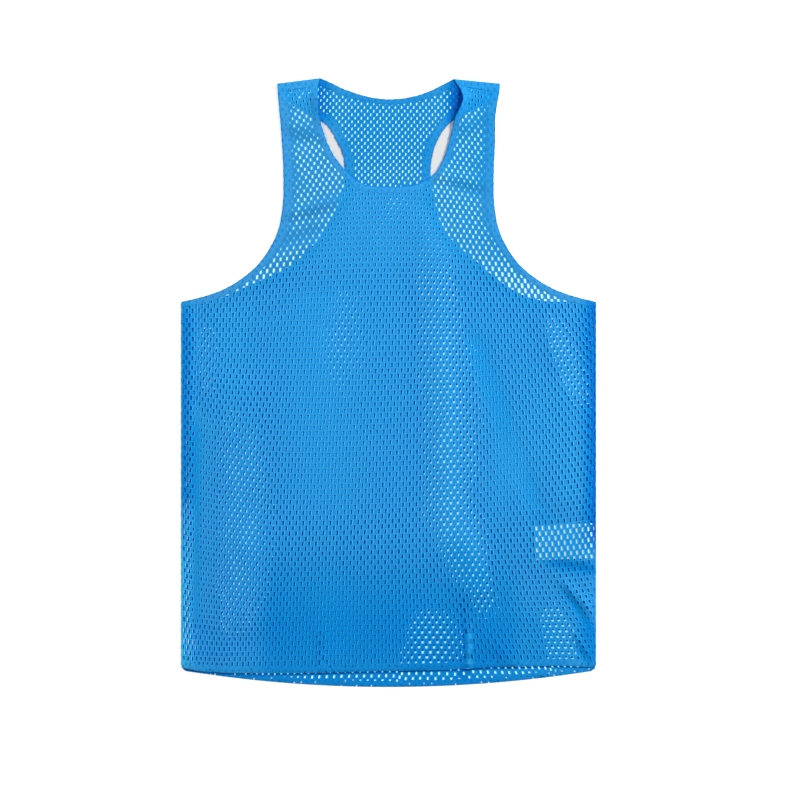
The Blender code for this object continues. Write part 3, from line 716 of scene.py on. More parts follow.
# How the knit is stretched as it lies: where columns of holes meet rows of holes, in mm
COLUMNS = (-34.0, -25.5, -17.0, 0.0, 17.0, 25.5, 34.0)
BODY_STRETCH = {
    0.0: ((-248, -366), (-204, -365), (-149, -363), (-3, -360), (151, -363), (218, -365), (280, -367)),
    23.4: ((-256, -209), (-204, -218), (-144, -222), (-4, -220), (137, -214), (202, -211), (263, -205)),
    45.8: ((-259, -65), (-202, -75), (-139, -81), (-2, -80), (135, -71), (202, -65), (268, -55)),
    66.8: ((-258, 58), (-196, 56), (-130, 57), (1, 60), (132, 61), (199, 62), (266, 65)),
    88.1: ((-264, 165), (-196, 179), (-127, 191), (3, 200), (127, 191), (191, 182), (257, 175)),
}
FRONT_STRETCH = {
    **BODY_STRETCH,
    100.7: ((-278, 215), (-206, 237), (-134, 255), (0, 270), (123, 258), (186, 247), (250, 235)),
    119.0: ((-300, 305), (-228, 322), (-152, 340), (-8, 361), (124, 354), (190, 345), (255, 332)),
}

FILLING = np.array(
    [
        (TOP, UP_LEFT, LOW_LEFT), (TOP, LOW_LEFT, BOTTOM),
        (TOP, BOTTOM, LOW_RIGHT), (TOP, LOW_RIGHT, UP_RIGHT),
    ]
)  # triangles that shut a hole
SHARED_ROWS = 94.4  # the back keeps the front's rows up to this one, and has closer ones in its yoke

at_shared = through(list(FRONT_STRETCH), list(FRONT_STRETCH.values()), np.array([SHARED_ROWS]))[0]
BACK_STRETCH = {
    **BODY_STRETCH,
    SHARED_ROWS: at_shared,
    101.0: ((-266, 262), (-195, 263), (-130, 263), (2, 263), (126, 262), (190, 262), (255, 261)),
    122.0: ((-255, 350), (-189, 352), (-126, 353), (0, 354), (126, 353), (189, 352), (252, 350)),
}

print("a hole is", HOLE_WIDTH, "x", HOLE_HEIGHT, "mm, in", round(max(FRONT_STRETCH)), "rows on the front")

# %% The net
def net(stretch):
    """Hole centres as (rows, columns, 2), the cloth's own directions and the distance between
    columns there, the net's triangles by corner number, and each hole's column and row. A
    centre is the stretch at its column and row, and odd rows stand half a column aside."""
    v = np.arange(-4.0, max(stretch) + 6.0)
    table = through(list(stretch), list(stretch.values()), v)
    half = np.arange(-36.0, 36.01, 0.5)
    field = through(COLUMNS, table.transpose(1, 0, 2), half).transpose(1, 0, 2)
    across, up = np.gradient(field, axis=1), np.gradient(field, axis=0)
    half_pitch = np.linalg.norm(across, axis=2)
    across /= half_pitch[..., None]
    up /= np.linalg.norm(up, axis=2, keepdims=True)
    rows, columns = len(v), len(half) // 2
    row, col = np.meshgrid(np.arange(rows), np.arange(columns), indexing="ij")
    odd = row % 2
    pick = (row, 2 * col + odd)
    u = half[2 * col + odd]

    def corner(r, c, k):
        """Number of corner k of the hole at (r, c), or −1 outside the net."""
        real = (r >= 0) & (r < rows) & (c >= 0) & (c < columns)
        return np.where(real, (r * columns + c) * 6 + k, -1)

    above = (row + 1, col + odd)
    above_left = (row + 1, col + odd - 1)
    below = (row - 1, col + odd)
    beside = (row, col + 1)
    here = (row, col)
    between = (
        ((here, UP_RIGHT), (beside, UP_LEFT), (above, BOTTOM)),
        ((here, LOW_RIGHT), (below, TOP), (beside, LOW_LEFT)),
    )
    bridges = (
        ((here, LOW_RIGHT), (beside, LOW_LEFT), (beside, UP_LEFT), (here, UP_RIGHT)),
        ((here, UP_RIGHT), (above, BOTTOM), (above, LOW_LEFT), (here, TOP)),
        ((here, TOP), (above_left, LOW_RIGHT), (above_left, BOTTOM), (here, UP_LEFT)),
    )
    triangles = [[corner(*hole, k) for hole, k in face] for face in between]
    for bridge in bridges:
        a, b, c, d = (corner(*hole, k) for hole, k in bridge)
        triangles += [(a, b, c), (a, c, d)]
    faces = np.concatenate([np.stack([k.ravel() for k in t], axis=1) for t in triangles])
    faces = faces[(faces >= 0).all(1)]
    v = np.broadcast_to(v[:, None], u.shape)
    return field[pick], across[pick], up[pick], 2.0 * half_pitch[pick], faces, u, v


holes = net(FRONT_STRETCH)[0]
print("the whole net has", holes.shape[0] * holes.shape[1], "holes before it is cut")

# %% [markdown]
# ## Cutting the net to a piece
#
# Scissors cut a net anywhere, through bridges and holes alike. Here the faces outside the
# outline are dropped, and the corners just outside it are moved onto it, so the edge is
# clean without new points. Every free edge, round the holes too, then gets a wall down to a
# second, lower layer. An edge is free where no neighbouring triangle runs along it the other
# way. Real holes differ a little, so each gets its own small offset, size and lean by the
# fractional part of a large sine, which gives the same answer on every run.

# %% Tests and small differences
def inside(outline, points):
    """True for each point inside a closed outline: a ray to the right crosses it an odd
    number of times."""
    start, end = outline, np.roll(outline, -1, axis=0)
    x, y = points[:, :1], points[:, 1:]
    crosses = (start[:, 1] > y) != (end[:, 1] > y)
    run = end[:, 1] - start[:, 1]
    at = start[:, 0] + (y - start[:, 1]) / np.where(run == 0, 1.0, run) * (end[:, 0] - start[:, 0])
    return (crosses & (x < at)).sum(1) % 2 == 1


def chance(u, v, seed):
    """A repeatable number from 0 to 1 for each place: the fractional part of a large sine."""
    return np.mod(np.sin(u * 12.9898 + v * 78.233 + seed) * 43758.5453, 1.0)


def uneven(u, v, seed):
    """The same from −½ to ½."""
    return chance(u, v, seed) - 0.5


def hole_lean(x, y):
    """How far a hole leans to the right for each mm up: 0.08 mm at the left and the centre,
    0.16 less at the right, and 0.08 less again at the right above the hem."""
    right = smooth((x - 10.0) / 150.0)
    return 0.08 - 0.16 * right - 0.08 * right * smooth((-190.0 - y) / 110.0)


def free_edges(triangles):
    """Directed edges of a triangle set that no neighbour runs the other way."""
    edges = triangles[:, [0, 1, 1, 2, 2, 0]].reshape(-1, 2)
    size = triangles.max() + 1
    key, back = edges[:, 0] * size + edges[:, 1], edges[:, 1] * size + edges[:, 0]
    return edges[~np.isin(key, back)]


lean = hole_lean(np.array([0.0]), np.array([0.0]))[0]
print("a hole in the middle leans", round(float(lean), 2), "mm for each mm up")

# %% A piece of the net
ASIDE, WIDTHS, HEIGHTS, LEANS = 0.3, 0.16, 0.14, 0.06  # how uneven the holes are: mm, shares, mm for each mm
SLIVER = 0.01  # mm², under which a triangle pushed onto the outline is dropped


def knit_piece(
    name, outline, stretch, low, high, finish, tone, offset=None, size=None, closed=None, flat=None
):
    """A piece of the net inside an outline, between the heights low and high.

    offset moves the hole centres, size gives each hole's width and height as shares of the
    usual ones, closed says which holes are shut, and flat where the cloth shows no loops.
    A corner is its hole's centre + the cloth's direction across × (corner x + corner y × lean)
    + its direction up × corner y, and corners outside the outline go to its nearest point.
    """
    centres, across, up, pitch, triangles, u, v = net(stretch)
    if offset is not None:
        centres = centres + offset(centres[..., 0], centres[..., 1], pitch)
    centres = centres + ASIDE * np.dstack([uneven(u, v, 1.0), uneven(u, v, 2.0)])
    wide, tall = (1.0, 1.0) if size is None else size(centres[..., 0], centres[..., 1])
    wide = wide * (1.0 + WIDTHS * uneven(u, v, 3.0))
    tall = tall * (1.0 + HEIGHTS * uneven(u, v, 4.0))
    lean = hole_lean(centres[..., 0], centres[..., 1]) + LEANS * uneven(u, v, 5.0)
    sideways = CORNERS[:, 0] * wide[..., None] + CORNERS[:, 1] * lean[..., None]
    points = (
        centres[:, :, None, :]
        + across[:, :, None, :] * sideways[..., None]
        + up[:, :, None, :] * (CORNERS[:, 1] * tall[..., None])[..., None]
    ).reshape(-1, 2)
    cloth = np.stack([u * WALE, v * COURSE], axis=-1)[:, :, None, :] + CORNERS
    cloth = cloth.reshape(-1, 2)
    if closed is not None:
        shut = np.flatnonzero(closed(centres[..., 0], centres[..., 1]).ravel())
        fill = (shut[:, None, None] * 6 + FILLING).reshape(-1, 3)
        triangles = np.concatenate([triangles, fill])
    box = (outline.min(0) - 20.0, outline.max(0) + 20.0)
    near = ((points > box[0]) & (points < box[1])).all(1)
    triangles = triangles[near[triangles].all(1)]
    used, triangles = np.unique(triangles, return_inverse=True)
    triangles = triangles.reshape(-1, 3)
    points, cloth = points[used], cloth[used]
    out = ~inside(outline, points)
    ring = np.concatenate([outline, outline[:1]])
    points[out] = nearest_on(ring, points[out])
    a, b, c = points[triangles[:, 0]], points[triangles[:, 1]], points[triangles[:, 2]]
    area = ((b[:, 0] - a[:, 0]) * (c[:, 1] - a[:, 1]) - (b[:, 1] - a[:, 1]) * (c[:, 0] - a[:, 0])) / 2
    triangles = triangles[(area > SLIVER) & ~out[triangles].all(1)]
    used, triangles = np.unique(triangles, return_inverse=True)
    triangles = triangles.reshape(-1, 3)
    points, cloth = points[used], cloth[used]
    cloth = cloth if finish is knit else points
    count = len(points)
    edges = free_edges(triangles)
    walls = np.stack([edges[:, 0], edges[:, 0] + count, edges[:, 1] + count, edges[:, 1]], axis=1)
    x, y = points.T
    solid = np.concatenate([np.column_stack([x, y, high(x, y)]), np.column_stack([x, y, low(x, y)])])
    faces = triangles.tolist() + (triangles[:, ::-1] + count).tolist() + walls.tolist()
    return new_object(name, solid, faces, finish, np.concatenate([cloth, cloth]), tone, 1.0, flat)


def area_of(outline):
    """Area inside a closed outline: half the sum of x × next y − y × next x."""
    x, y = outline.T
    return abs((x * np.roll(y, -1) - y * np.roll(x, -1)).sum()) / 2


print("a bridge between two holes is about", round(WALE - HOLE_WIDTH, 1), "mm wide")

# %% [markdown]
# ## The two panels
#
# Front and back are one piece of net each, cut a little inside their bound edges, where the
# bindings cover the cut. Two nets on each other make a moiré that decides the whole look.
# Where a front hole lies over a bridge of the back, it looks dark. Where it lies over a back
# hole, the white surface shines through. On the real singlet the layers slipped by chance.
# Left to chance here, the bright places would come out elsewhere, so the back's holes are
# set against the front's on purpose: half a column aside, and over each other along strokes.

# %% Outlines
SEAM_X = HALF_CHEST - 0.6  # the net ends inside the side seam's roll


def along_seam(side):
    """Direction of the shoulder seam from the armhole to the neck."""
    seam = shoulder_line(side)[0]
    return (seam[1] - seam[0]) / np.linalg.norm(seam[1] - seam[0])


def panel_outline(arms, neck_edge, hem_y, arm_tip, neck_tip):
    """A panel's outline, tucked inside its bindings: along the hem, up the right armhole, along
    the neck and down the left armhole. Its tips reach this many mm into the shoulder strips."""
    right, left = (inset(arms[side], TUCK, 1.0) for side in ("right", "left"))
    for arm in (right, left):
        arm[0] = (SEAM_X, arm[0, 1])
        arm[-1] += (0.0, arm_tip)
    neck = inset(neck_edge, TUCK, -1.0)
    neck[[0, -1]] += (0.0, neck_tip)
    x = np.linspace(-SEAM_X, SEAM_X, 120)
    hem = np.column_stack([x, hem_y(x)])
    return np.concatenate([hem, right, neck[::-1], left[::-1] * (-1.0, 1.0)])


front_cut = panel_outline(arm_edge, front_neck_edge, lambda x: front_hem_y(x) + FRONT_HEM_BAND, 2.5, 2.5)
back_cut = panel_outline(racer_edge, back_neck_edge, lambda x: back_hem_y(x) + BACK_HEM_BAND, 1.5, 0.0)
for name, cut in (("front", front_cut), ("back", back_cut)):
    print(name, "is cut", np.round(np.ptp(cut, axis=0)), "mm, area", round(area_of(cut) * 1e-6, 3), "m²")

# %% Where the layers' holes meet
# Where the holes of the two layers meet: x0, y0, x1, y1, half width, share
SHINE = (
    (-180.0, -45.0, -174.0, -160.0, 28.0, 0.85),
    (-174.0, -160.0, -182.0, -250.0, 28.0, 0.85),
    (-182.0, -250.0, -192.0, -300.0, 22.0, 0.35),
    (-50.0, 104.0, -62.0, 0.0, 28.0, 0.55),
    (-222.0, 62.0, -218.0, -5.0, 10.0, 0.5),
    (-22.0, 176.0, 20.0, 236.0, 13.0, 0.65),
    (46.0, 205.0, 62.0, 70.0, 24.0, 0.55),
    (62.0, 70.0, 74.0, -60.0, 27.0, 0.85),
    (74.0, -60.0, 70.0, -160.0, 27.0, 0.92),
    (70.0, -160.0, 100.0, -222.0, 25.0, 0.78),
    (100.0, -222.0, 120.0, -282.0, 20.0, 0.36),
    (50.0, -290.0, 50.0, -384.0, 28.0, 1.15),
    (196.0, 72.0, 229.0, -12.0, 13.0, 0.48),
    (196.0, -280.0, 216.0, -356.0, 16.0, 0.8),
)


def shift_back(x, y, pitch):
    """How far the back's holes lie beside and below the front's. Between the shining places
    that is half the distance between columns. Where the layers shine through it goes to
    nothing, and the back's hole lies 3.7 − 1.1 × the share below the front's."""
    wave = 1.0 + 0.16 * np.sin(x / 5.3 + 1.3 * np.sin(y / 17.0)) + 0.12 * np.sin(y / 11.0 + x / 23.0)
    shine = np.clip(strokes(SHINE, x, y, 75.0) * wave, 0.0, 1.0)
    met = smooth((shine - 0.04) / 0.24)
    aside = pitch / 2 * (1.0 - met) + 0.2 + met * (1.5 - 1.3 * shine)
    return np.dstack([aside, -met * (3.7 - 1.1 * shine)])


print(len(SHINE), "places where light comes through both layers")

# %% Size of the holes
# Where the holes are pulled wider: x0, y0, x1, y1, half width, share
WIDE = (
    (46.0, -262.0, 46.0, -362.0, 30.0, 0.3),
    (89.0, -256.0, 89.0, -356.0, 5.0, 0.4),
    (222.0, -260.0, 225.0, -350.0, 26.0, 0.2),
    (-243.0, 90.0, -244.0, -330.0, 8.0, 0.4),
    (244.0, 90.0, 244.0, -300.0, 8.0, 0.25),
    (180.0, -193.0, 252.0, -192.0, 22.0, -0.2),
    (232.0, -30.0, 196.0, 76.0, 10.0, 0.05),
)

# Where folds on the straps squeeze the holes: x0, y0, x1, y1, half width, share
SQUEEZED = (
    (-104.0, 205.0, -58.0, 223.0, 8.0, 0.5),
    (-138.0, 165.0, -84.0, 188.0, 9.0, 0.5),
    (-122.0, 297.0, -78.0, 305.0, 9.0, 0.55),
    (-122.0, 262.0, -100.0, 232.0, 6.0, 0.3),
    (74.0, 243.0, 110.0, 229.0, 7.0, 0.45),
    (84.0, 300.0, 122.0, 322.0, 7.0, 0.35),
    (106.0, 270.0, 118.0, 190.0, 6.0, 0.3),
    (-231.0, -30.0, -233.0, -290.0, 4.5, 0.75),
    (-218.0, -40.0, -218.0, -290.0, 9.0, 0.3),
)


def near_arm(x, y):
    """Distance to the front's armhole edges."""
    points = np.column_stack([np.ravel(x), np.ravel(y)])
    away = [points - nearest_on(arm_edge[side][::4] * (sign, 1.0), points) for side, sign in SIDES.items()]
    return np.linalg.norm(away, axis=2).min(0).reshape(np.shape(x))


def front_holes(x, y):
    """Width and height of the front's holes, as shares: 1 less 0.36 and 0.37 on the straps, less
    up to a half beside the armhole's binding and where SQUEEZED says, 0.6 of that in height.
    WIDE adds to the width, and at the low right the height is 0.22 less."""
    strap = smooth((y - 110.0) / 60.0)
    beside = 0.5 * smooth((ARMHOLE_BAND + 6.0 - near_arm(x, y)) / 4.0) * smooth((y - 140.0) / 60.0)
    beside = beside + strokes(SQUEEZED, x, y, 16.0)
    low_right = smooth((x - 130.0) / 80.0) * smooth((-215.0 - y) / 40.0)
    tall = 1.0 - 0.37 * strap - 0.6 * beside - 0.22 * low_right
    return 1.0 - 0.36 * strap - beside + strokes(WIDE, x, y), tall


def back_holes(x, y):
    """Width and height of the back's holes, as shares: 1 less 0.54 and 0.4 in the yoke, less
    0.16 and 0.34 in the strip that shows below the front's hem, plus what WIDE says above it."""
    yoke, strip = smooth((y - 215.0) / 25.0), smooth((-335.0 - y) / 10.0)
    wide = 1.0 - 0.54 * yoke - 0.16 * strip + strokes(WIDE, x, y) * (1.0 - strip)
    return wide, 1.0 - 0.4 * yoke - 0.34 * strip


wide, tall = back_holes(np.array([0.0]), np.array([300.0]))
print("a hole in the yoke is", np.round([HOLE_WIDTH * wide[0], HOLE_HEIGHT * tall[0]], 1), "mm")

# %% The front and the back
THIN, UNDERSIDE = 0.8, 0.2  # the net's own thickness, and its underside's height in its layer


def beside_pleat(x, y):
    """Distance to the right of the hem's crease, which leans 0.02 mm for each mm up."""
    return x - 96.0 - 0.02 * (y + 320.0)


def pleat_closed(x, y):
    """Where the hem's crease is folded tight and its holes don't show."""
    return (np.abs(beside_pleat(x, y)) < 4.1) & (y < -302.0)


def pleat_smooth(x, y):
    """1 along the hem's crease, where the cloth is pulled flat and shows no loops."""
    return np.exp(-((beside_pleat(x, y) / 4.6) ** 4)) * smooth((-292.0 - y) / 14.0)


def hollow_closed(x, y):
    """Where the back's two bindings run together at the right shoulder and no hole shows."""
    return ((x - 86.0) / 12.0) ** 2 + ((y - 342.0) / 24.0) ** 2 < 1.0


front = knit_piece(
    "front_mesh", front_cut, FRONT_STRETCH, lambda x, y: front_base(x, y) + UNDERSIDE,
    lambda x, y: front_base(x, y) + UNDERSIDE + THIN, knit, front_painted_shading, size=front_holes,
    closed=pleat_closed, flat=pleat_smooth,
)
back = knit_piece(
    "back_mesh", back_cut, BACK_STRETCH, lambda x, y: back_base(x, y) + UNDERSIDE,
    lambda x, y: back_base(x, y) + UNDERSIDE + THIN, knit, back_painted_shade, shift_back, back_holes, hollow_closed,
)

# %% [markdown]
# ## The hems
#
# A hem is the panel's own cloth, turned up once and sewn. Its holes are doubled, so most are
# shut by the other layer and a few small ones are left. Two crossing nets would show that,
# at the price of slivers where they cross. One net with most of its holes shut looks the
# same, rounded along its fold.

# %% Hems
EDGE_ROUND = 1.0  # mm over which the folded edge rounds off
HEM_SHUT = {"front": 0.72, "back": 0.7}  # share of the holes that the fold shuts


def hem_outline(edge_y, inner_y):
    """Outline of a hem between its lower edge and its sewn line, closer at the sides, where
    the edge turns up."""
    near_side = np.array([0.0, 0.2, 0.6, 1.2, 2.2, 3.6])
    end = SEAM_X + SEAM_GAP
    x = np.concatenate([near_side - end, np.linspace(-244, 244, 160), end - near_side[::-1]])
    return np.concatenate([np.column_stack([x, edge_y(x)]), np.column_stack([x, inner_y(x)])[::-1]])


def hem_heights(edge_y, base):
    """Lower and upper height of a hem: 1 mm of folded cloth, rounded along its lower edge by
    √(1 − (1 − distance / EDGE_ROUND)²)."""

    def rounding(x, y):
        above = np.clip((y - edge_y(x)) / EDGE_ROUND, 0.0, 1.0)
        return np.sqrt(np.clip(1.0 - (1.0 - above) ** 2, 0.0, 1.0))

    return (
        lambda x, y: base(x, y) + 0.5 * (1.0 - rounding(x, y)),
        lambda x, y: base(x, y) + 0.6 + 0.5 * rounding(x, y),
    )


def back_hem_edge(x):
    """Y of the back hem's edge with its round corners."""
    return back_hem_y(x) + corner_rise(np.clip(x, -249.99, 249.99))


front_hem_cut = hem_outline(front_hem_y, lambda x: front_hem_y(x) + FRONT_HEM_BAND + SEAM_GAP)
back_hem_cut = hem_outline(back_hem_edge, lambda x: back_hem_y(x) + BACK_HEM_BAND + SEAM_GAP)
front_hem = knit_piece(
    "front_hem_band", front_hem_cut, FRONT_STRETCH, *hem_heights(front_hem_y, front_base), plain, front_painted_shading,
    size=lambda x, y: (0.6, 0.4), closed=lambda x, y: chance(x, y, 1.0) < HEM_SHUT["front"],
)
back_hem = knit_piece(
    "back_hem_band", back_hem_cut, BACK_STRETCH, *hem_heights(back_hem_edge, back_base), plain, back_painted_shade,
    shift_back, lambda x, y: (0.6, 0.35), lambda x, y: chance(x, y, 2.0) < HEM_SHUT["back"],
)

# %% [markdown]
# ## Bindings
#
# A binding is a strip of close knit folded over the cloth's raw edge and sewn through. A
# Bezier curve with a bevel would make a round cord. This band is flat with a round edge, so
# its section is a hairpin: over the cloth, round the edge and back under it. For each
# station along the edge the section's points go from the edge to the sewn line, and each
# stands at the height of the cloth below it, so the band follows every fold.

# %% The binding's section
BAND_WALL = 1.4  # how high a folded binding stands


def hairpin(width):
    """Section of a folded band as (share of the width in from the edge, height), clockwise."""
    turn = np.radians((90, 120, 150, 180, 210, 240, 270))
    outer = np.column_stack([0.7 + 0.7 * np.cos(turn), 0.69 + 0.69 * np.sin(turn)])
    top = (
        (width, 1.03), (width - 0.5, 1.1), (width - 1.2, 1.2), (width - 2.4, 1.32),
        (width * 0.5, BAND_WALL), (1.6, BAND_WALL),
    )
    under = ((width * 0.5, 0.0), (width - 0.3, 0.0), (width, 0.1), (width - 0.1, 0.17))
    slot = ((1.6, 0.17), (1.1, 0.6), (1.6, 1.03))
    section = np.concatenate([top, outer, under, slot])
    return section / (width, 1.0)


def binding(name, edge, inner, base, tone):
    """A hairpin section carried along an edge: point = edge + (inner − edge) × share, at the
    cloth's height + the section's. The edge and the upper side waver by small sines, and the
    outer rim, where the band turns under, gets painted shade a shade deeper."""
    width = np.linalg.norm(inner - edge, axis=1).mean()
    section = hairpin(width)
    share, height = section.T
    run = lengths(edge)
    outward = (edge - inner) / np.linalg.norm(edge - inner, axis=1)[:, None]
    edge = edge + outward * (0.14 * np.sin(run / 1.15) + 0.1 * np.sin(run / 2.9))[:, None]
    xy = edge[:, None, :] + (inner - edge)[:, None, :] * share[None, :, None]
    wave = 0.05 * np.sin(run / 3.1) + 0.04 * np.sin(run / 1.7 + 2.0)
    lift = np.where(height > 0.9, 1.0, 0.0)
    z = base(xy[..., 0], xy[..., 1]) + height + wave[:, None] * lift
    # painted shade along the band's turned outer rim
    rim = np.exp(-((share * width / 0.7) ** 2))
    shade = np.broadcast_to(1.0 - 0.3 * rim, z.shape).ravel()
    return tube(name, np.dstack([xy, z]), plain, xy, tone, shade)


print("the section has", len(hairpin(NECK_BAND)), "points and is", NECK_BAND, "mm wide on the neck")

# %% Bindings
DOWN = (0.0, -1.0)
ARM_AT_SEAM, ARM_NEXT, ARM_STRAP = 6.6, 1.2, 2.7  # width at the side seam, and what it gains twice
NECK_GAINS = 2.4  # how much wider the back neck's binding is at the shoulders


def arm_width(edge):
    """Width of the front's armhole binding: it gains ARM_NEXT over the first 26 mm from the
    side seam, and ARM_STRAP from 100 to 180 mm, where the edge turns up into the strap."""
    run = lengths(edge)
    return ARM_AT_SEAM + ARM_NEXT * smooth(run / 26.0) + ARM_STRAP * smooth((run - 100.0) / 80.0)


arm_inner = {s: inset(arm_edge[s], arm_width(arm_edge[s]), 1.0, DOWN, along_seam(s)) for s in SIDES}
racer_inner = {s: inset(racer_edge[s], RACER_BAND, 1.0, DOWN, along_seam(s)) for s in SIDES}
cut_left, cut_right = along_seam("left") * (-1.0, 1.0), along_seam("right")
neck_inner = inset(front_neck_edge, NECK_BAND, -1.0, -cut_left, -cut_right)
ends = {side: shoulder_line(side)[0][1] - shoulder_line(side)[1][1] for side in SIDES}
reach = np.abs(back_neck_edge[:, 0]) / 80.0
back_width = BACK_NECK_BAND + NECK_GAINS * smooth(reach - 0.1)
back_neck_inner = inset(back_neck_edge, back_width, -1.0, ends["left"] * (-1.0, 1.0), ends["right"])

bindings = {
    "front_neck": binding("front_neck_band", front_neck_edge, neck_inner, front_base, front_painted_shading),
    "back_neck": binding("back_neck_band", back_neck_edge, back_neck_inner, back_base, back_painted_shade),
}
for side, sign in SIDES.items():
    for name, edge, inner, base, tone in (
        ("front", arm_edge[side], arm_inner[side], front_base, front_painted_shading),
        ("back", racer_edge[side], racer_inner[side], back_base, back_painted_shade),
    ):
        pair = (edge * (sign, 1.0), inner * (sign, 1.0))
        if sign > 0:
            pair = tuple(line[::-1] for line in pair)
        bindings[f"{name}_arm_{side}"] = binding(f"{name}_armhole_band_{side}", *pair, base, tone)

# %% [markdown]
# ## Shoulder strips
#
# Over each shoulder lies a strip of the same close knit, folded along the shoulder's top, with
# the front sewn into it. It is a short piece with a plain shape, so a bent box with loop cuts
# would do, but its two ends have to meet the neck's and the armhole's edges. So it too is a
# section carried along a line: a hairpin on its side, from the armhole to the neck.

# %% Shoulder strips
def shoulder_strip(side, sign):
    """A strip folded over the shoulder: a hairpin lying on its side, carried from armhole to
    neck. A point = fold + (seam − fold) × its distance from the fold / the depth there, and two
    small sines pucker its height."""
    # the section is an outer ring and, 0.6 mm inside it, an inner one, as (distance, height)
    seam, fold = shoulder_line(side)
    turn = np.linspace(-math.pi / 2, math.pi / 2, 13)
    share = np.linspace(0.0, 1.0, 40)
    at_fold = fold[0] + (fold[1] - fold[0]) * share[:, None]
    at_seam = seam[0] + (seam[1] - seam[0]) * share[:, None]
    depth = np.linalg.norm(at_seam - at_fold, axis=1)
    rings = []
    for wall, order in ((0.0, 1), (0.6, -1)):
        back = np.concatenate([[9.0, 4.0], 1.5 - (1.5 - wall) * np.cos(turn), [4.0, 9.0]])
        up = np.concatenate([[wall] * 2, 1.95 + (1.95 - wall) * np.sin(turn), [3.85 - wall, 3.8 - wall]])
        rings.append(np.column_stack([back, up])[::order])
    section = np.concatenate(rings)
    far = section[:, 0] == 9.0
    along = np.where(far[None, :], depth[:, None], np.minimum(section[:, 0][None, :], depth[:, None] - 0.5))
    xy = at_fold[:, None, :] + (at_seam - at_fold)[:, None, :] * (along / depth[:, None])[..., None]
    pucker = 1.0 + 0.02 * np.sin(share * 31.0)[:, None] + 0.015 * np.sin(share * 13.0 + 1.0)[:, None]
    z = section[:, 1] * pucker
    grid = np.dstack([xy * (sign, 1.0), z])
    if sign > 0:
        grid = grid[::-1]
    return tube(f"shoulder_fold_{side}", grid, plain, grid[..., :2])


strips = {side: shoulder_strip(side, sign) for side, sign in SIDES.items()}

# %% [markdown]
# ## Side seams
#
# At each side, front and back are sewn together inside out, so what shows is a slim roll of
# turned-in cloth. A bead of twelve sides round both layers' edges is all that the eye gets,
# and it closes the gap between the layers.

# %% Side seams
SEAM_LOW, SEAM_HIGH = -341.0, 98.0  # from the front hem's edge to the armhole


def side_seam(side, sign):
    """A bead of turned-in cloth round both layers' edges at the side: an ellipse of 1.3 × 1.15 mm
    carried up the side, wavering by two small sines."""
    y = np.arange(SEAM_LOW, SEAM_HIGH, 2.0)
    turn = np.radians(np.arange(0, 360, 30))
    centre = HALF_CHEST - 0.75
    x = centre + 1.3 * np.cos(turn)[None, :] + (0.14 * np.sin(y / 1.6) + 0.08 * np.sin(y / 3.7))[:, None]
    z = 1.2 + 1.15 * np.sin(turn)[None, :] + 0 * y[:, None]
    grid = np.dstack([x * sign, np.broadcast_to(y[:, None], x.shape), z])
    if sign < 0:
        grid = grid[:, ::-1]
    grid = grid[:, ::-1]
    return tube(f"side_seam_{side}", grid, plain, grid[..., :2])


seams = {side: side_seam(side, sign) for side, sign in SIDES.items()}

# %% [markdown]
# ## Care label
#
# The label is a tab of woven tape sewn into the side seam, between the layers. All that shows
# of it is white behind the front's holes, and it is left blank. It has to lie just under the
# front's folds, so it is a grid at the front's own height rather than a flat card.

# %% Care label
TAPE_THICK, TAPE_DIP = 0.4, 0.9  # mm, and how far its end goes down into the seam


def label():
    """A blank tab of tape: a grid turned by LABEL_SLOPE about the seam, at the height of the
    front's underside, less TAPE_DIP over the last 4 mm."""
    across = np.linspace(-LABEL_LENGTH, 0.0, 37)
    up = np.linspace(-LABEL_WIDTH / 2, LABEL_WIDTH / 2, 22)
    a, b = np.meshgrid(across, up)
    x = a * math.cos(LABEL_SLOPE) - b * math.sin(LABEL_SLOPE) + LABEL_SEAM[0]
    y = a * math.sin(LABEL_SLOPE) + b * math.cos(LABEL_SLOPE) + LABEL_SEAM[1]
    x = np.where(a == 0, LABEL_SEAM[0] - 0.2, x)
    z = front_base(x, y) + 0.05 - TAPE_DIP * smooth((x - 245.5) / 3.0)
    top, low = np.dstack([x, y, z]), np.dstack([x, y, z - TAPE_THICK])
    index = np.arange(a.size).reshape(a.shape)
    quads = grid_quads(index)
    rim = np.concatenate([index[0, :-1], index[:-1, -1], index[-1, :0:-1], index[:0:-1, 0]])
    following = np.roll(rim, -1)
    walls = np.stack([rim, rim + a.size, following + a.size, following], axis=1)
    faces = quads.tolist() + (quads[:, ::-1] + a.size).tolist() + walls.tolist()
    uv = np.dstack([a, b]).reshape(-1, 2)
    both = np.concatenate([top.reshape(-1, 3), low.reshape(-1, 3)])
    uv = np.concatenate([uv, uv])
    return new_object("care_label_tape", both, faces, tape, uv, lambda x, y: np.ones(len(x)))


care_label = label()

# %% [markdown]
# ## Stitches
#
# A twin needle sews each binding and each hem with two rows of thread, in the cloth's own
# blue. A curve with a bevel along every row would be one endless cord. A stitch is a short
# low ridge with tapered ends, half sunk in the cloth, so one six-sided figure of four rings
# is repeated along the lines, and all the stitches of one layer are one mesh.

# %% Stitches
STITCH, STITCH_GAP, FREE_END = 2.4, 0.8, 2.5  # mm of thread, between two stitches, and at a line's ends
ON_BINDING, ON_HEM = 1.28, 1.12  # height of the thread over the cloth's underside


def stitch_row(line, base, lift):
    """Centres, directions and heights of the stitches along a line, its ends left free."""
    run = lengths(line)
    at = np.arange(FREE_END, run[-1] - FREE_END, STITCH + STITCH_GAP)
    place = np.column_stack([np.interp(at, run, line[:, k]) for k in (0, 1)])
    ahead = np.column_stack([np.interp(at + 0.5, run, line[:, k]) for k in (0, 1)]) - place
    ahead /= np.linalg.norm(ahead, axis=1)[:, None]
    return place, ahead, base(place[:, 0], place[:, 1]) + lift


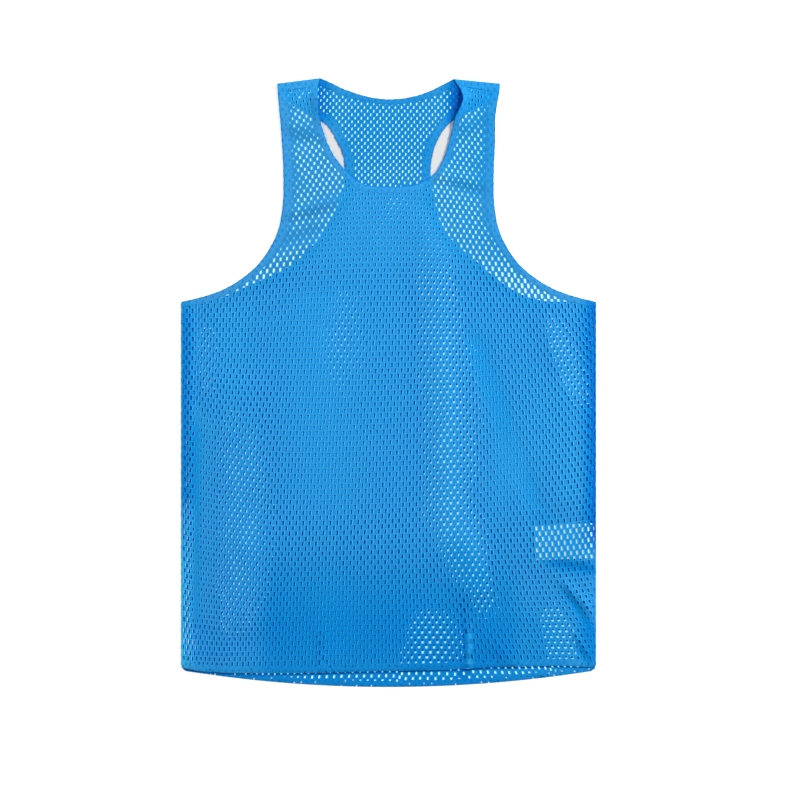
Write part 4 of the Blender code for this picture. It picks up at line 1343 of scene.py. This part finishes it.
def stitches(name, rows, tone):
    """One mesh of all the stitches of some rows: at each of 4 stations a six-sided ring of 0.3 ×
    0.2 mm, swelling from 0.35 of that at the ends."""
    place, ahead, z = (np.concatenate(part) for part in zip(*rows))
    side = np.column_stack([-ahead[:, 1], ahead[:, 0]])
    along = STITCH * np.array([-0.5, -0.3, 0.3, 0.5])
    swell = np.array([0.35, 1.0, 1.0, 0.35])
    turn = np.radians(np.arange(0, 360, 60))
    flat = place[:, None, None, :] + ahead[:, None, None, :] * along[None, :, None, None]
    flat = flat + side[:, None, None, :] * (0.3 * swell[:, None] * np.cos(turn))[None, :, :, None]
    up = z[:, None, None] + 0.2 * (swell[:, None] * np.sin(turn))[None]
    points = np.concatenate([flat, up[..., None]], axis=-1)
    count = len(place)
    index = np.arange(count * 24).reshape(count, 4, 6)
    right = np.roll(index, -1, axis=2)
    quads = np.stack([index[:, :-1], index[:, 1:], right[:, 1:], right[:, :-1]], axis=-1).reshape(-1, 4)
    caps = index[:, 0].tolist() + index[:, 3, ::-1].tolist()
    uv = np.dstack([np.broadcast_to(along[:, None], (4, 6)), np.broadcast_to(turn, (4, 6))])
    uv = np.broadcast_to(uv, (count, 4, 6, 2)).reshape(-1, 2)
    return new_object(name, points.reshape(-1, 3), quads.tolist() + caps, thread, uv, tone)


def rows_beside(edge, inner, base):
    """Two rows on a binding, 1 mm and 3 mm from its sewn line."""
    width = np.linalg.norm(inner - edge, axis=1)[:, None]
    return [stitch_row(inner + (edge - inner) * away / width, base, ON_BINDING) for away in (1.0, 3.0)]


def hem_rows(edge_y, base):
    """Two rows on a hem, 4 mm and 6 mm above its edge."""
    x = np.linspace(-246.0, 246.0, 400)
    return [stitch_row(np.column_stack([x, edge_y(x) + above]), base, ON_HEM) for above in (4.0, 6.0)]


front_rows = rows_beside(front_neck_edge, neck_inner, front_base) + hem_rows(front_hem_y, front_base)
back_rows = rows_beside(back_neck_edge, back_neck_inner, back_base) + hem_rows(back_hem_edge, back_base)
for side, sign in SIDES.items():
    mirror = (sign, 1.0)
    front_rows += rows_beside(arm_edge[side] * mirror, arm_inner[side] * mirror, front_base)
    back_rows += rows_beside(racer_edge[side] * mirror, racer_inner[side] * mirror, back_base)
front_stitches = stitches("front_stitches", front_rows, front_painted_shading)
back_stitches = stitches("back_stitches", back_rows, back_painted_shade)

# %% [markdown]
# ## What rides, what it stands for, and what goes with each panel
#
# Nothing on a singlet moves by itself, so every piece rides the one body, root. Most pieces
# replace a solid of the imported part, which then isn't shown. The seams and stitches stand for
# none. For each panel, the pieces that are sewn to it and go where it goes are listed.

stands_for = {
    front: ("front_panel",), back: ("back_panel",), front_hem: ("front_hem",), back_hem: ("back_hem",),
    bindings["front_neck"]: ("front_neck_binding",), bindings["back_neck"]: ("back_neck_binding",),
    care_label: ("care_label",), front_stitches: (), back_stitches: (),
}
for side in SIDES:
    stands_for[bindings[f"front_arm_{side}"]] = (f"front_armhole_binding_{side}",)
    stands_for[bindings[f"back_arm_{side}"]] = (f"back_armhole_binding_{side}",)
    stands_for[strips[side]] = (f"shoulder_strip_{side}",)
    stands_for[seams[side]] = ()
for piece, nodes in stands_for.items():
    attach(piece, "root")
    if nodes:
        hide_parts(*nodes)

front_with = [front_stitches, front_hem, bindings["front_neck"]]
front_with += [bindings[f"front_arm_{side}"] for side in SIDES] + list(seams.values())
back_with = [back_stitches, back_hem, bindings["back_neck"]]
back_with += [bindings[f"back_arm_{side}"] for side in SIDES] + list(strips.values())
print(len(stands_for), "pieces ride root,", sum(map(bool, stands_for.values())), "replace solids")

# %% [markdown]
# ## The surface under it
#
# The singlet lies on plain white, lit so brightly that it has no edge. A lamp strong enough
# for that would bleach the cloth, so the surface glows a little by itself. Behind the holes
# the eye expects the blue that the cloth throws on it, so there the surface glows with painted
# blue light, paler under one layer than under two, and in the gaps between straps and
# racerback with a soft grey of painted shade. A grid of points with its own glow gives each
# place its colour with no texture.

# %% The surface
WHITE = linear("FFFFFF")
MATT_WHITE = "CECECE"
# the glow: even white in the open, painted blue light under the cloth, painted shade in the gaps
GLOW = {"open": "CCCCCC", "one layer": "D4F6FF", "two layers": "A2DAEF", "shade in strap gap": "3F3F3F"}
REACH, GRID = 12000.0, 4.0  # mm out to the surface's edges, and between its points near the cloth
BELOW_CLOTH = -0.2  # mm, so that the back's underside and the surface never meet


def surface_glow(points):
    """Linear glow of each point: painted blue light by whether cloth lies over it, one layer above
    the armholes and two below, or painted shade where it lies in a gap beside the racerback."""
    x, y = points.T
    under = inside(front_cut, points) | inside(back_cut, points)
    # the gaps beside the racerback get painted shade
    gap = ~under & (np.abs(x) < 110.0) & (y > 185.0) & (y < 330.0)
    places = (under & (y < 97.0), under, gap)
    names = ("two layers", "one layer", "shade in strap gap")
    return np.select([p[:, None] for p in places], [linear(GLOW[n]) for n in names], linear(GLOW["open"]))


def floor():
    """A flat white grid just under the singlet, with its glow at each point."""
    x = np.concatenate([[-REACH], np.arange(-280.0, 281.0, GRID), [REACH]])
    y = np.concatenate([[-REACH], np.arange(-400.0, 401.0, GRID), [REACH]])
    quads = grid_quads(np.arange(len(y) * len(x)).reshape(len(y), len(x)))
    points = np.column_stack([part.ravel() for part in np.meshgrid(x, y)])
    solid = np.column_stack([points, np.full(len(points), BELOW_CLOTH)])
    data = bpy.data.meshes.new("surface")
    data.from_pydata((solid * MM).tolist(), [], quads.tolist())
    colours = data.attributes.new("glow", "FLOAT_COLOR", "POINT")
    colours.data.foreach_set("color", surface_glow(points).astype(np.float32).ravel())
    made = bpy.data.materials.new("white_surface")
    made.use_nodes = True
    shader = made.node_tree.nodes["Principled BSDF"]
    shader.inputs["Base Color"].default_value = linear(MATT_WHITE)
    shader.inputs["Roughness"].default_value = 0.9
    light = add(made.node_tree, "ShaderNodeAttribute", attribute_name="glow")
    made.node_tree.links.new(light.outputs["Color"], shader.inputs["Emission Color"])
    shader.inputs["Emission Strength"].default_value = 1.0
    data.materials.append(made)
    thing = bpy.data.objects.new("surface", data)
    bpy.context.scene.collection.objects.link(thing)
    print("surface of", len(points), "points")


floor()

# %% [markdown]
# ## Light and camera
#
# The light is that of a studio table: one large softbox high at the right, behind the
# shoulders, which models the folds, a weaker one at the left that fills their shade, and a
# dim white room. The camera looks straight down from far enough away that the singlet shows
# as it was cut, and its distance follows from the width it has to take in.

# %% Softboxes and room
def softbox(name, place, aim, size, watts):
    """A square light at a place, turned towards a point, in metres."""
    data = bpy.data.lights.new(name, "AREA")
    data.shape, data.size, data.size_y, data.energy = "RECTANGLE", size, size, watts
    thing = bpy.data.objects.new(name, data)
    thing.location = place
    thing.rotation_euler = (Vector(aim) - Vector(place)).to_track_quat("-Z", "Y").to_euler()
    bpy.context.scene.collection.objects.link(thing)


softbox("key", (1.7, 1.6, 2.1), aim=(0.0, 0.1, 0.0), size=1.0, watts=98.0)
softbox("fill", (-1.6, 0.8, 2.4), aim=(0.0, 0.0, 0.0), size=1.4, watts=22.0)
ROOM_LIGHT = 0.25
world = bpy.data.worlds.new("studio")
world.use_nodes = True
world.node_tree.nodes["Background"].inputs["Color"].default_value = WHITE
world.node_tree.nodes["Background"].inputs["Strength"].default_value = ROOM_LIGHT
bpy.context.scene.world = world
bpy.context.scene.view_settings.view_transform = "Standard"
print("lights:", ", ".join(sorted(light.name for light in bpy.data.lights)))

# %% Camera
PICTURE_WIDTH = 0.96624  # metres of surface across the picture: 800 pixels of 1.2078 mm
VIEW_CENTRE = (0.0138, -0.0210)
lens = bpy.data.cameras.new("camera")
lens.lens, lens.sensor_width = 100.0, 36.0  # mm
lens.clip_start, lens.clip_end = 0.1, 20.0
camera = bpy.data.objects.new("camera", lens)
camera.location = (*VIEW_CENTRE, PICTURE_WIDTH * lens.lens / lens.sensor_width)
bpy.context.scene.collection.objects.link(camera)
bpy.context.scene.camera = camera
print("the camera is", round(camera.location.z, 3), "m above the surface")
